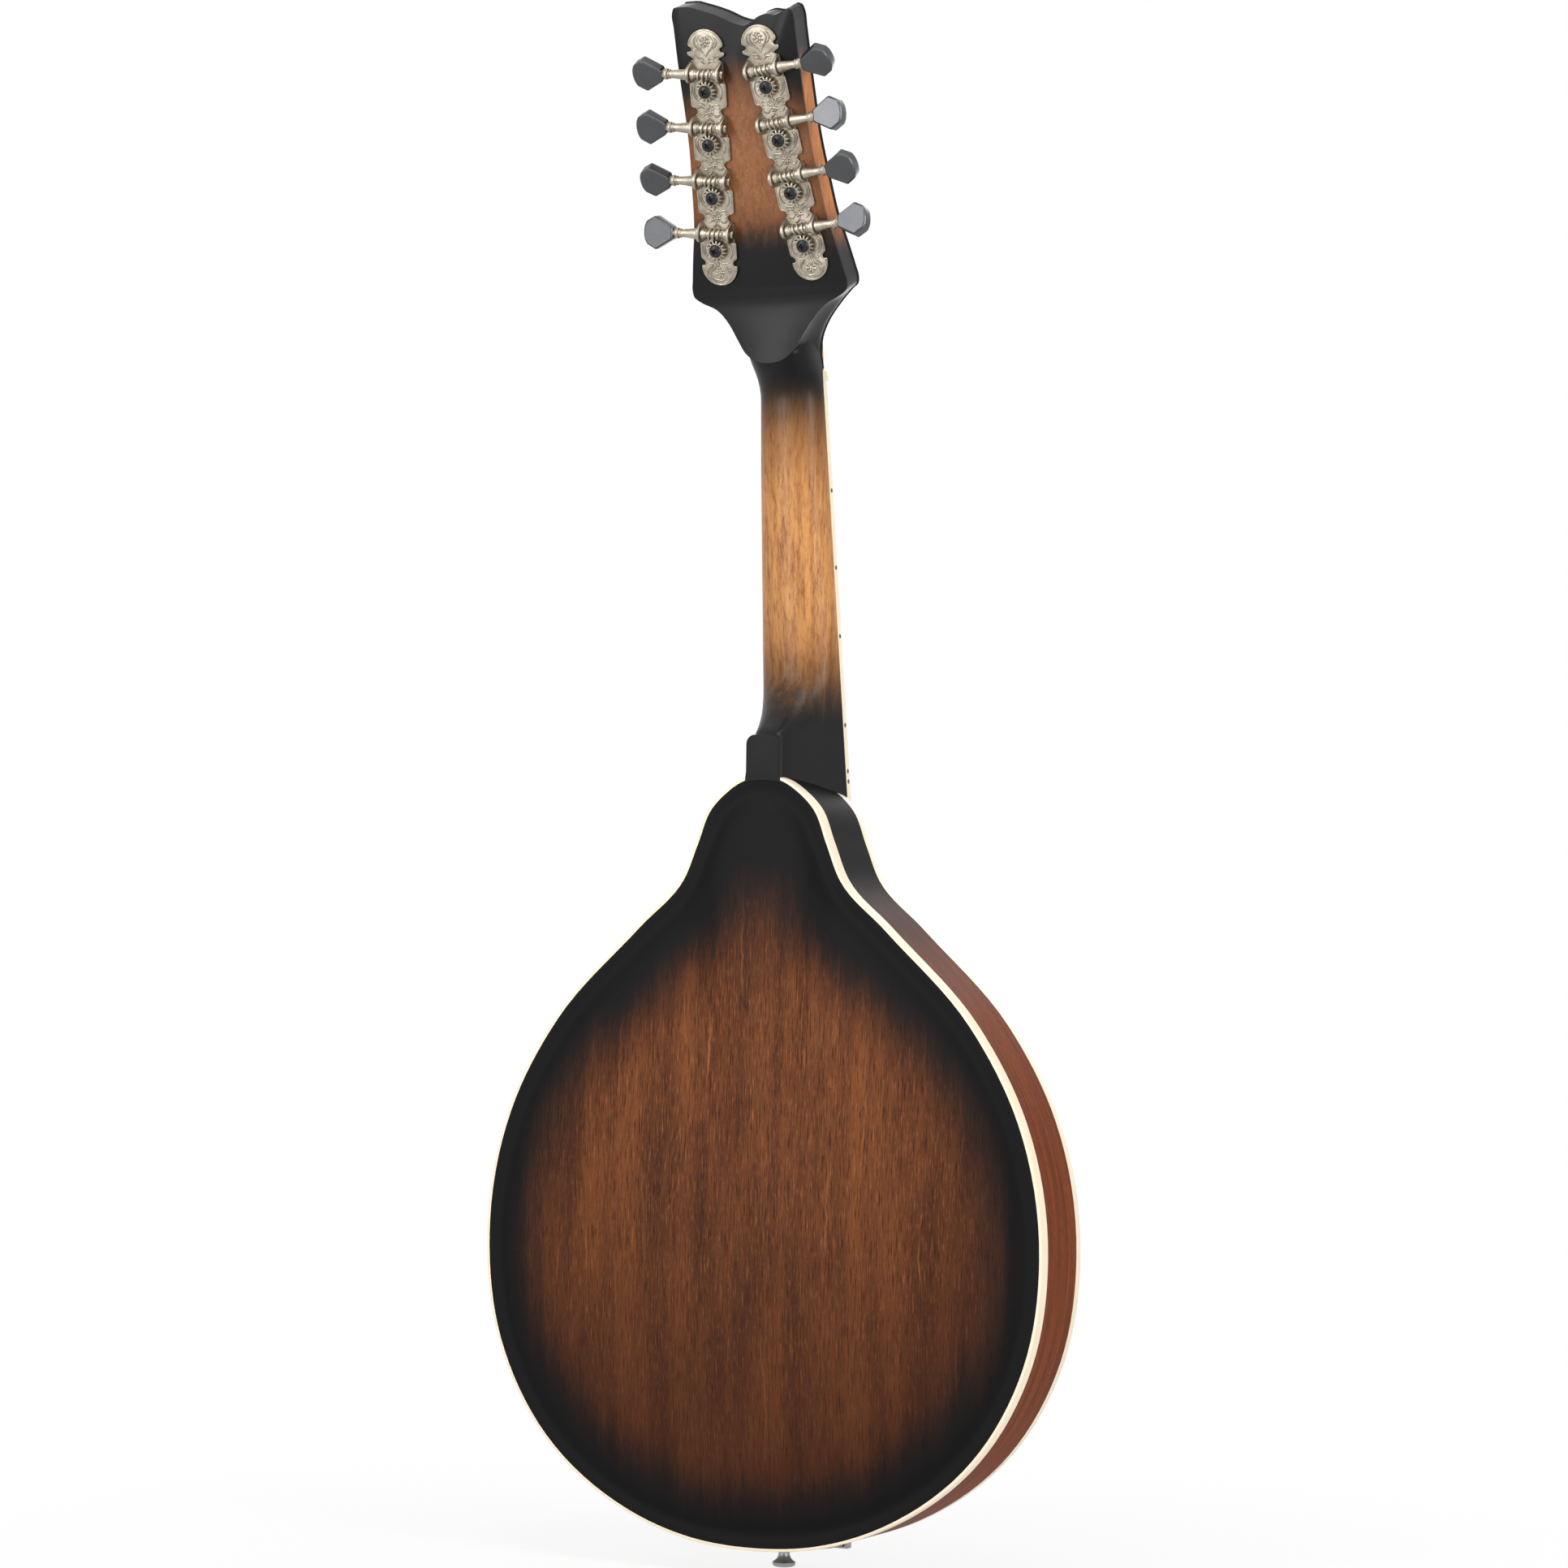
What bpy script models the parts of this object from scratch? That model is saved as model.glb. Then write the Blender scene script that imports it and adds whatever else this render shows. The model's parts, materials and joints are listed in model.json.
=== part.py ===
"""A-style mandolin: carved body, set neck, geared tuners, floating bridge, tailpiece and eight strings.

Sizes are in millimetres and become metres when a mesh is made. Inside this file the body's back
rim lies in the plane y = 0, the soundboard faces -Y, the bass side is -X and the twelfth fret is at
z = 0. Every finished piece is then shifted, so that the model's origin is the point where a wall
hanger's yoke carries the headstock.
"""
import math

import bmesh
import bpy
from mathutils import Vector

MM = 0.001
GAP = 0.3               # between pieces that touch on the real instrument
FINE = 1e-6

# Body
BODY_DEPTH = 43.0       # over both bindings
BODY_WIDTH = 259.4
BODY_LENGTH = 326.5
PLATE_THICK = 3.0
RIM_THICK = 2.5
BACK_ARCH = 8.0
TOP_ARCH = 11.0
BINDING_WIDTH = 1.2
BACK_BINDING_TALL = 6.5
TOP_BINDING_TALL = 5.0
LINING_WIDTH = 5.0
LINING_TALL = 5.5
BLOCK_HALF = 26.0
BLOCK_DEEP = 20.0
BRACE_WIDE = 6.0
BRACE_TALL = 9.0
BRACE_ENDS = (21.577358, 21.180604)     # from the ends of the upper and lower brace to the rim's outside
SOUNDHOLE_WIDE = 56.0
SOUNDHOLE_TALL = 40.0
SOUNDHOLE_BELOW = 6.0   # from the end of the fingerboard to the hole

# Half outline of the standard body, from the neck joint round the bass side to the tail
OUTLINE = [(0, 4.0), (9.2, 2.5), (18.2, -3.1), (24.8, -9.8), (31.3, -25), (37.7, -40), (58, -60),
           (97.4, -100), (119.7, -140), (129.7, -195), (123.1, -240), (100.4, -280),
           (60.5, -309.6), (30.0, -319.8), (0, -322.5)]
STEPS = [1, 1, 1, 1, 1, 2, 2, 2, 3, 2, 2, 3, 2, 2]      # points along each stretch of the outline
ARCH_PLACE = -195.0     # the outline's widest place, where both plates are highest
BODY_STRETCH = BODY_LENGTH / (OUTLINE[0][1] - OUTLINE[-1][1])
ARCH_CENTRE = OUTLINE[0][1] + (ARCH_PLACE - OUTLINE[0][1]) * BODY_STRETCH

# Neck and fingerboard
SCALE = 350.0
JOINT_FRET = 12
FRETS = 20
NECK_ANGLE = math.radians(6.25)
HEAD_TILT = math.radians(15.2)      # of the headstock against the neck
FINGERBOARD_THICK = 4.0
FINGERBOARD_LIFT = 1.0              # of its underside over the body's front edge, at the joint
FINGERBOARD_END = 5.0               # past the last fret
NUT_HALF = 14.2
JOINT_HALF = 19.0
NECK_DEEP_NUT = 15.0                # with the fingerboard
NECK_DEEP = 17.2
NECK_FULL_AT = 40.0                 # below the nut
HEEL_START = 50.0                   # above the joint
HEEL_FULL = 21.0
FRET_WIDE = 2.0
FRET_TALL = 1.0
NUT_LONG = 4.4
NUT_TALL = 1.7                      # over the fingerboard
CAP_HALF = 7.9
CAP_THICK = 3.0
CAP_PROUD = 0.4
FB_BINDING = 1.5
ROD_WIDE = 4.4
ROD_TALL = 6.0

# Headstock: outlines as (distance across, distance up from the nut), treble side first
HEAD_THICK = 10.4
OVERLAY_THICK = 1.4
HEAD_EDGE = [(33.3, 40.5), (35.7, 42.4), (36.3, 45.5), (33.4, 61.0), (31.1, 72.0), (29.3, 88.0),
             (27.6, 106.0), (26.8, 145.0), (26.1, 163.5), (24.6, 166.0), (22.0, 166.5),
             (14.0, 164.5), (5.0, 161.0), (-3.0, 157.0), (-6.2, 156.3), (-9.4, 157.4),
             (-13.3, 159.6), (-16.2, 160.3), (-20.9, 159.6), (-28.3, 161.3), (-29.2, 158.5),
             (-28.5, 124.0), (-28.6, 106.0), (-29.9, 88.0), (-31.4, 72.0), (-33.6, 61.0),
             (-36.3, 45.5), (-35.7, 42.4), (-33.3, 40.5)]
HEAD_FLARE = [(0.0, 5.2), (14.0, 5.2), (14.4, 12.5), (16.0, 19.8), (19.4, 26.2), (25.8, 33.6)]
TONGUE = [(0.0, 14.9), (6.5, 16.0), (11.0, 19.0), (14.7, 24.0), (19.5, 31.0), (25.5, 37.2)]
VOLUTE = 14.0           # thickening of the neck under the tongue of the headstock's back face
FLARE_THICK = 2.5       # of the flared part's upright edge beside the tongue
FLARE_TAPER = 4.5       # over which that edge runs in to the tongue's wall
# The back face's own profile, as (distance up from the nut, distance behind its flat part)
TONGUE_SWEEP = [(44.5, 0.0), (41.5, 0.5), (38.0, 1.9), (10.0, 14.5)]

# Tuners: one plate of four a side
TUNER_PITCH = 22.7
TUNERS_A_SIDE = 4
TUNER_SPLAY = math.radians(5.3)
TOP_POST = (14.2, 130.6)            # half distance across, distance up from the nut
PLATE_METAL = 1.0
GEAR_THICK = 3.0
GEAR_TEETH = 15
GEAR_TIP = 4.5
GEAR_ROOT = 3.6
POST_RADIUS = 3.0
POST_PROUD = 9.5                    # in front of the overlay
POST_WAIST = 2.3
SCREW_RADIUS = 2.9
SCREW_TALL = 1.5
WORM_UP = 7.2                       # of the worm's axis from the gear's
WORM_RADIUS = 2.3
WORM_CORE = 1.6
WORM_RISE = 2.5                     # of the worm's axis over the plate
EAR_IN = 6.3
EAR_METAL = 1.2
FOLD_LIP = 0.1                      # of the plate outside the fold of an ear
EAR_RADIUS = 3.6
SHAFT_RADIUS = 2.1
SHAFT_END = 18.5
BUTTON_LONG = 13.6
BUTTON_THICK = 5.4
BUTTON_TURNS = [24, -18, 12, -30, 18, 10, 22, -8]   # degrees, as the buttons stand at rest

# Bridge, strings and tailpiece
BRIDGE_BACK = 2.0                   # compensation
STRING_RISE = 3.3                   # over the fingerboard's line at the bridge
STRING_LIFT = 1.2                   # over the frets at the nut
SADDLE_HALF = 35.0
SADDLE_WIDE = 6.0
SADDLE_TALL = 6.5
BASE_HALF = 56.0
BASE_WIDE = 10.0
BASE_TALL = 5.0
WHEEL_RADIUS = 6.0
WHEEL_THICK = 2.0
STUD_RADIUS = 1.6
STUD_AT = 24.0
SADDLE_TRAVEL = 1.4                 # downwards, two turns of the wheels
STRING_RADII = [0.50, 0.50, 0.33, 0.33, 0.19, 0.19, 0.14, 0.14]
PAIR_CENTRES = [-10.0, -3.4, 3.4, 10.0]
PAIR_SPLIT = 1.1
TAIL_SPREAD = 1.35                  # of the strings at the bridge and tail, against the nut
TAIL_HALF = 21.0
TAIL_METAL = 1.2
TAIL_LONG = 40.0
TAIL_RISE = 7.0                     # of the tailpiece's upper end against its bend
TAIL_BACK = -14.0                   # rear end of the plate on the tail
HOOK_OVER = 2.5
COVER_METAL = 1.0
COVER_LONG = 46.3
COVER_BELOW = 0.5                   # from the tailpiece's bend to the cover's end wall
COVER_OVER = 2.3                    # over the strings
PIN_RADIUS = 2.0
PIN_DEPTH = 11.7                    # of the strap button's pin behind the body's front edge
BUTTON_END_RADIUS = 5.0
STRAP_LONG = 8.3

HANGER_UP = 33.0                    # of the yoke's line, up from the nut
ROUND = 12


def clear_scene():
    """Removes the start-up objects."""
    for item in list(bpy.data.objects):
        bpy.data.objects.remove(item, do_unlink=True)


def material(name, colour, roughness, metallic=0.0):
    """A plain surface in the part's own colour."""
    made = bpy.data.materials.new(name)
    made.use_nodes = True
    shader = made.node_tree.nodes["Principled BSDF"]
    shader.inputs["Base Color"].default_value = (*colour, 1.0)
    shader.inputs["Roughness"].default_value = roughness
    shader.inputs["Metallic"].default_value = metallic
    return made


# Frames of the neck and the headstock

NECK_DOWN = Vector((0, -math.sin(NECK_ANGLE), -math.cos(NECK_ANGLE)))
NECK_BACK = Vector((0, math.cos(NECK_ANGLE), -math.sin(NECK_ANGLE)))
HEAD_LEAN = NECK_ANGLE + HEAD_TILT
HEAD_UP = Vector((0, math.sin(HEAD_LEAN), math.cos(HEAD_LEAN)))
HEAD_BACK = Vector((0, math.cos(HEAD_LEAN), -math.sin(HEAD_LEAN)))
FRONT = -BODY_DEPTH
PIN_LINE = FRONT + PIN_DEPTH


def fret_place(number):
    """Distance of a fret from the nut."""
    return SCALE * (1 - 2 ** (-number / 12))


JOINT_ALONG = fret_place(JOINT_FRET)
NUT_POINT = (Vector((0, FRONT - FINGERBOARD_LIFT - FINGERBOARD_THICK, 0))
             - NECK_DOWN * JOINT_ALONG)
SEAT = FINGERBOARD_THICK + GAP      # of the neck's face behind the fingerboard's surface
HEAD_FACE = SEAT * math.cos(HEAD_TILT) - (NUT_LONG + 2 * GAP) * math.sin(HEAD_TILT)
HEAD_REAR = HEAD_FACE + HEAD_THICK
OVERLAY_FACE = HEAD_FACE - GAP - OVERLAY_THICK
PLATE_LOW = HEAD_REAR + GAP
PLATE_HIGH = PLATE_LOW + PLATE_METAL
GEAR_LOW = PLATE_HIGH + GAP
GEAR_HIGH = GEAR_LOW + GEAR_THICK
WORM_LEVEL = PLATE_HIGH + WORM_RISE
BOARD_ALONG = fret_place(FRETS) + FINGERBOARD_END


def neck_place(x, along, back):
    """A point by its distance below the nut and behind the fingerboard's surface."""
    return NUT_POINT + Vector((x, 0, 0)) + NECK_DOWN * along + NECK_BACK * back


def head_place(x, up, back):
    """A point by its distance up the headstock and behind the nut's front line."""
    return NUT_POINT + Vector((x, 0, 0)) + HEAD_UP * up + HEAD_BACK * back


def body_place(x, z, y):
    """A point on a plane of the body."""
    return Vector((x, y, z))


ORIGIN = head_place(0, HANGER_UP, (HEAD_FACE + HEAD_REAR) / 2)


# Shapes

def make_object(name, bm, surface, pivot=None, smooth=None):
    """Turns a bmesh in millimetres into an object whose origin is the pivot, or the model's own."""
    bmesh.ops.remove_doubles(bm, verts=bm.verts, dist=0.001)
    bmesh.ops.recalc_face_normals(bm, faces=bm.faces)
    start = pivot if pivot is not None else ORIGIN
    for vert in bm.verts:
        vert.co = (vert.co - start) * MM
    mesh = bpy.data.meshes.new(name)
    bm.to_mesh(mesh)
    bm.free()
    mesh.materials.append(surface)
    if smooth:
        mesh.shade_smooth()
        mesh.set_sharp_from_angle(angle=math.radians(smooth))
    made = bpy.data.objects.new(name, mesh)
    made.location = (start - ORIGIN) * MM
    bpy.context.scene.collection.objects.link(made)
    return made


def hidden(cutter):
    """A guide that the build leaves out."""
    cutter.hide_render = True
    cutter.display_type = "WIRE"
    return cutter


def combine(target, other, operation):
    """Adds a Boolean modifier with a hidden second shape."""
    step = target.modifiers.new(operation.title() + " " + other.name, "BOOLEAN")
    step.operation = operation
    step.object = hidden(other)
    step.solver = "EXACT"


def cut(target, other):
    """Takes one shape away from another."""
    combine(target, other, "DIFFERENCE")


def fuse(target, other):
    """Joins two overlapping shapes."""
    combine(target, other, "UNION")


def add_prism(bm, outline, place, low, high):
    """Extrudes a flat outline between two levels of a frame."""
    verts = [bm.verts.new(place(u, v, low)) for u, v in outline]
    face = bm.faces.new(verts)
    grown = bmesh.ops.extrude_face_region(bm, geom=[face])
    moved = [item for item in grown["geom"] if isinstance(item, bmesh.types.BMVert)]
    centre = outline[0]
    shift = place(*centre, high) - place(*centre, low)
    bmesh.ops.translate(bm, verts=moved, vec=shift)


def prism(name, outline, place, low, high, surface, pivot=None, smooth=None):
    """One extruded piece."""
    bm = bmesh.new()
    add_prism(bm, outline, place, low, high)
    return make_object(name, bm, surface, pivot, smooth)


def add_loft(bm, rings, closed_ends=True):
    """Skins a row of rings that have the same number of points."""
    rows = [[bm.verts.new(point) for point in ring] for ring in rings]
    for row, after in zip(rows, rows[1:]):
        for k in range(len(row)):
            bm.faces.new((row[k - 1], row[k], after[k], after[k - 1]))
    if closed_ends:
        bm.faces.new(rows[0])
        bm.faces.new(list(reversed(rows[-1])))
    return rows


def add_hoop(bm, outline, section):
    """Carries a section, as (inset, y) points, once round the body's outline."""
    rings = []
    for inset, y in section:
        rings.append([Vector((x, y, z)) for x, z in inset_outline(outline, inset)])
    rows = add_loft(bm, rings + [rings[0]], closed_ends=False)
    return rows


def add_turned(bm, profile, base, axis, side, count=ROUND):
    """Turns (height, radius) points about an axis; the ends are closed flat."""
    across = axis.cross(side)
    rings = []
    for height, radius in profile:
        ring = []
        for k in range(count):
            turn = 2 * math.pi * k / count
            out = side * math.cos(turn) + across * math.sin(turn)
            ring.append(base + axis * height + out * radius)
        rings.append(ring)
    add_loft(bm, rings)


def turned(name, profile, base, axis, side, surface, pivot=None, count=ROUND):
    """One turned piece."""
    bm = bmesh.new()
    add_turned(bm, profile, base, axis, side, count)
    return make_object(name, bm, surface, pivot, smooth=35)


def rod_cutter(name, places, axis, side, radius, low, high):
    """Round cutters in one hidden shape."""
    bm = bmesh.new()
    for place in places:
        add_turned(bm, [(low, radius), (high, radius)], place, axis, side)
    return make_object(name, bm, WOOD_PLAIN)


# The body's outline

def smooth_curve(points, steps):
    """A smooth curve through points, level at both ends, with its own number of steps on each stretch."""
    ends = [points[1], *points, points[-2]]
    ends[0] = (-ends[0][0], ends[0][1])
    ends[-1] = (-ends[-1][0], ends[-1][1])
    curve = []
    for a, b, c, d, count in zip(ends, ends[1:], ends[2:], ends[3:], steps):
        for k in range(count):
            t = k / count
            curve.append(tuple(
                0.5 * (2 * b[i] + (c[i] - a[i]) * t + (2 * a[i] - 5 * b[i] + 4 * c[i] - d[i]) * t ** 2
                       + (3 * b[i] - a[i] - 3 * c[i] + d[i]) * t ** 3) for i in range(2)))
    curve.append(points[-1])
    return curve


def body_outline():
    """The whole outline as (x, z), scaled to the body's width and length."""
    widest = max(x for x, z in OUTLINE)
    top = OUTLINE[0][1]
    across = BODY_WIDTH / 2 / widest
    half = [(x * across, top + (z - top) * BODY_STRETCH) for x, z in smooth_curve(OUTLINE, STEPS)]
    return half + [(-x, z) for x, z in reversed(half[1:-1])]


def inset_outline(outline, inset):
    """The outline moved inwards along its normals."""
    moved = []
    count = len(outline)
    for k in range(count):
        before, after = Vector(outline[k - 1]), Vector(outline[(k + 1) % count])
        run = (after - before).normalized()
        moved.append((outline[k][0] + run.y * inset, outline[k][1] - run.x * inset))
    return moved


def arch_share(ring):
    """Height of a plate at a ring, as a share of the whole arch: 0 at the edge, 1 in the middle."""
    return max(0.0, 1 - ring ** 2) ** 1.25


def ring_at(x, z):
    """Ring of the plates that passes through a point of the body: 0 in the middle, 1 at the edge."""
    reach = math.hypot(x, z - ARCH_CENTRE)
    angle = math.atan2(x, z - ARCH_CENTRE)
    return min(1.0, reach / plate_reach(angle))


def facet_share(ring, shares):
    """The share of the arch on a face that is flat between its rings."""
    for outer, inner in zip(shares, shares[1:]):
        if ring >= inner:
            part = (ring - inner) / (outer - inner)
            return arch_share(inner) + (arch_share(outer) - arch_share(inner)) * part
    return arch_share(shares[-1])


def arch_at(x, z, arch, shares):
    """Height of a face of an arched plate over its edge, above a point of the body."""
    return arch * facet_share(ring_at(x, z), shares)


def plate_reach(angle):
    """Distance from the arch's centre to the edge of the plate, along a direction."""
    direction = Vector((math.sin(angle), math.cos(angle)))
    edge = PLATE_EDGE
    best = 0.0
    for k in range(len(edge)):
        a = Vector((edge[k - 1][0], edge[k - 1][1] - ARCH_CENTRE))
        b = Vector((edge[k][0], edge[k][1] - ARCH_CENTRE))
        run = b - a
        cross = direction.x * run.y - direction.y * run.x
        if abs(cross) < FINE:
            continue
        far = (a.x * run.y - a.y * run.x) / cross
        share = (a.x * direction.y - a.y * direction.x) / cross
        if far > 0 and -FINE <= share <= 1 + FINE:
            best = max(best, far)
    return best


BODY = body_outline()
PLATE_EDGE = inset_outline(BODY, BINDING_WIDTH + GAP)
TAIL_END = min(z for x, z in BODY)
NECK_END = max(z for x, z in BODY)
OUTER_RINGS = [1.0, 0.92, 0.8, 0.62, 0.4, 0.15]
INNER_RINGS = [1.0, 0.8, 0.5, 0.15]


def arched_plate(name, edge_level, outward, arch, surface):
    """A carved plate: the outer face rises from its edge, the inner face follows it."""
    bm = bmesh.new()
    faces = []
    for depth, shares in ((0.0, OUTER_RINGS), (PLATE_THICK, INNER_RINGS)):
        rings = []
        for ring in shares:
            level = edge_level + outward * (arch * arch_share(ring) - depth)
            rings.append([Vector((x * ring, level, ARCH_CENTRE + (z - ARCH_CENTRE) * ring))
                          for x, z in PLATE_EDGE])
        faces.append(rings)
    add_loft(bm, list(reversed(faces[0])) + faces[1])
    return make_object(name, bm, surface, smooth=40)


def body_half(level):
    """Half width of the body at a height."""
    best = 0.0
    for k in range(len(BODY)):
        (xa, za), (xb, zb) = BODY[k - 1], BODY[k]
        if min(za, zb) <= level <= max(za, zb) and abs(za - zb) > FINE:
            best = max(best, xa + (xb - xa) * (za - level) / (za - zb))
    return best


def build_body():
    """Back, top, rim, bindings, linings, blocks and braces."""
    back = arched_plate("back_plate", 0.0, 1, BACK_ARCH, WOOD_BURST)
    top = arched_plate("top_plate", FRONT, -1, TOP_ARCH, WOOD_BURST)
    hole_z = neck_place(0, BOARD_ALONG, 0).z - SOUNDHOLE_BELOW - SOUNDHOLE_TALL / 2
    turns = [2 * math.pi * k / 20 for k in range(20)]
    oval = [(SOUNDHOLE_WIDE / 2 * math.cos(t), hole_z + SOUNDHOLE_TALL / 2 * math.sin(t)) for t in turns]
    cut(top, prism("soundhole_cutter", oval, body_place, FRONT - 30, FRONT + 10, WOOD_PLAIN))

    ledge = BINDING_WIDTH + GAP
    under = PLATE_THICK + GAP
    bm = bmesh.new()
    add_hoop(bm, BODY, [
        (0, -BACK_BINDING_TALL - GAP), (ledge, -BACK_BINDING_TALL - GAP), (ledge, -under),
        (RIM_THICK, -under), (RIM_THICK, FRONT + under), (ledge, FRONT + under),
        (ledge, FRONT + TOP_BINDING_TALL + GAP), (0, FRONT + TOP_BINDING_TALL + GAP)])
    rim = make_object("rim", bm, WOOD_SIDE, smooth=40)

    bm = bmesh.new()
    add_hoop(bm, BODY, [(0, 0), (BINDING_WIDTH, 0), (BINDING_WIDTH, -BACK_BINDING_TALL), (0, -BACK_BINDING_TALL)])
    back_binding = make_object("back_binding", bm, CREAM, smooth=40)
    gap_box = [(-CAP_HALF - 1, NECK_END + 5), (CAP_HALF + 1, NECK_END + 5),
               (CAP_HALF + 1, NECK_END - 10), (-CAP_HALF - 1, NECK_END - 10)]
    cut(back_binding, prism("binding_gap", gap_box, body_place, -BACK_BINDING_TALL - 1, 1, WOOD_PLAIN))
    bm = bmesh.new()
    add_hoop(bm, BODY, [(0, FRONT), (BINDING_WIDTH, FRONT), (BINDING_WIDTH, FRONT + TOP_BINDING_TALL),
                        (0, FRONT + TOP_BINDING_TALL)])
    make_object("top_binding", bm, CREAM, smooth=40)

    start = RIM_THICK + GAP
    for name, level, way in (("back_lining", -under, -1), ("top_lining", FRONT + under, 1)):
        bm = bmesh.new()
        add_hoop(bm, BODY, [(start, level), (start + LINING_WIDTH, level),
                            (start, level + way * LINING_TALL)])
        make_object(name, bm, WOOD_PLAIN)

    build_blocks(start, under)
    build_braces(hole_z)
    cut(rim, rod_cutter("rim_pin_hole", [Vector((0, PIN_LINE, TAIL_END))], Vector((0, 0, 1)),
                        Vector((1, 0, 0)), PIN_RADIUS + GAP, -10, 10))


def build_blocks(start, under):
    """The neck and tail blocks, rebated over the linings."""
    bm = bmesh.new()
    for level, way in ((-under, -1), (FRONT + under, 1)):
        add_hoop(bm, BODY, [(start - 2 * GAP, level + way * -5), (start + LINING_WIDTH + GAP, level + way * -5),
                            (start + LINING_WIDTH + GAP, level + way * (LINING_TALL + GAP)),
                            (start - 2 * GAP, level + way * (LINING_TALL + GAP))])
    rebate = make_object("lining_rebate", bm, WOOD_PLAIN)
    inside = prism("rim_inside", inset_outline(BODY, start), body_place, FRONT, 0, WOOD_PLAIN)
    for name, end, way in (("neck_block", NECK_END, -1), ("tail_block", TAIL_END, 1)):
        half = BLOCK_HALF if way > 0 else JOINT_HALF
        near, far = end, end + way * (start + BLOCK_DEEP)
        box = [(-half, near), (half, near), (half, far), (-half, far)]
        block = prism(name, box, body_place, FRONT + under, -under, WOOD_PLAIN)
        combine(block, inside, "INTERSECT")
        cut(block, rebate)
        if way > 0:
            cut(block, rod_cutter("block_pin_hole", [Vector((0, PIN_LINE, end))], Vector((0, 0, 1)),
                                  Vector((1, 0, 0)), PIN_RADIUS + GAP, -5, BLOCK_DEEP / 2 + start))


def build_braces(hole_z):
    """Two braces across the underside of the top, above and below the soundhole."""
    offset = SOUNDHOLE_TALL / 2 + 10
    for name, z, short in (("upper_brace", hole_z + offset, BRACE_ENDS[0]),
                           ("lower_brace", hole_z - offset, BRACE_ENDS[1])):
        half = body_half(z) - short
        rings = []
        for k in range(11):
            x = half * (k / 5 - 1)
            rest = max(FRONT - arch_at(x, z + way * BRACE_WIDE / 2, TOP_ARCH, INNER_RINGS) for way in (-1, 1))
            high = rest + PLATE_THICK + 1.5 * GAP
            low = high + BRACE_TALL * max(0.35, 1 - (x / half) ** 4)
            rings.append([Vector((x, high, z - BRACE_WIDE / 2)), Vector((x, high, z + BRACE_WIDE / 2)),
                          Vector((x, low, z + BRACE_WIDE / 4)), Vector((x, low, z - BRACE_WIDE / 4))])
        bm = bmesh.new()
        add_loft(bm, rings)
        make_object(name, bm, WOOD_PLAIN)


# Neck

def board_half(along):
    """Half width of the fingerboard and neck at a distance below the nut."""
    return NUT_HALF + (JOINT_HALF - NUT_HALF) * along / JOINT_ALONG


def neck_section(z):
    """A level section of the neck: flat in front, round behind, square-backed at the heel."""
    along = (NUT_POINT.z - z) / math.cos(NECK_ANGLE)
    half = board_half(max(along, 0.0))
    board_front = NUT_POINT.y + (z - NUT_POINT.z) * math.tan(NECK_ANGLE) + SEAT / math.cos(NECK_ANGLE)
    head_front = NUT_POINT.y + (z - NUT_POINT.z) * math.tan(HEAD_LEAN) + HEAD_FACE / math.cos(HEAD_LEAN)
    above = z - NUT_POINT.z
    front = max(board_front, head_front + 0.5 * min(1.0, max(0.0, above / 12)))
    grown = min(1.0, max(0.0, along / NECK_FULL_AT))
    swell = min(1.0, max(0.0, (above + 1) / 14))
    deep = NECK_DEEP_NUT + (NECK_DEEP - NECK_DEEP_NUT) * grown - SEAT + VOLUTE * swell ** 2 * (3 - 2 * swell)
    back = board_front + deep / math.cos(NECK_ANGLE)
    reach = min(1.0, max(0.0, (HEEL_START - z) / (HEEL_START - HEEL_FULL)))
    heel = reach ** 1.6
    heel_back = -CAP_THICK - GAP
    back += (heel_back - back) * heel
    squarer = 1 - 0.35 * swell
    ring = []
    count = 14
    for k in range(count + 1):
        turn = math.pi * k / count
        wide, deepness = abs(math.cos(turn)), max(math.sin(turn), 0.0)
        neck_share = deepness ** squarer
        heel_share = deepness ** 0.5
        neck_x = half * wide ** (0.92 * squarer)
        heel_x = (CAP_HALF + (half - CAP_HALF) * (1 - heel_share) ** 1.2) * wide ** 0.3
        x = neck_x + (heel_x - neck_x) * heel
        share = neck_share + (heel_share - neck_share) * heel
        if k in (0, count):
            x, share = half, 0.0
        ring.append(Vector((math.copysign(x, math.cos(turn)), front + (back - front) * share, z)))
    return ring


def head_outline(lower):
    """The headstock's outline closed by a lower edge, which is given for the treble side."""
    return lower + HEAD_EDGE + [(-x, up) for x, up in reversed(lower) if x > FINE]


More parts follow.
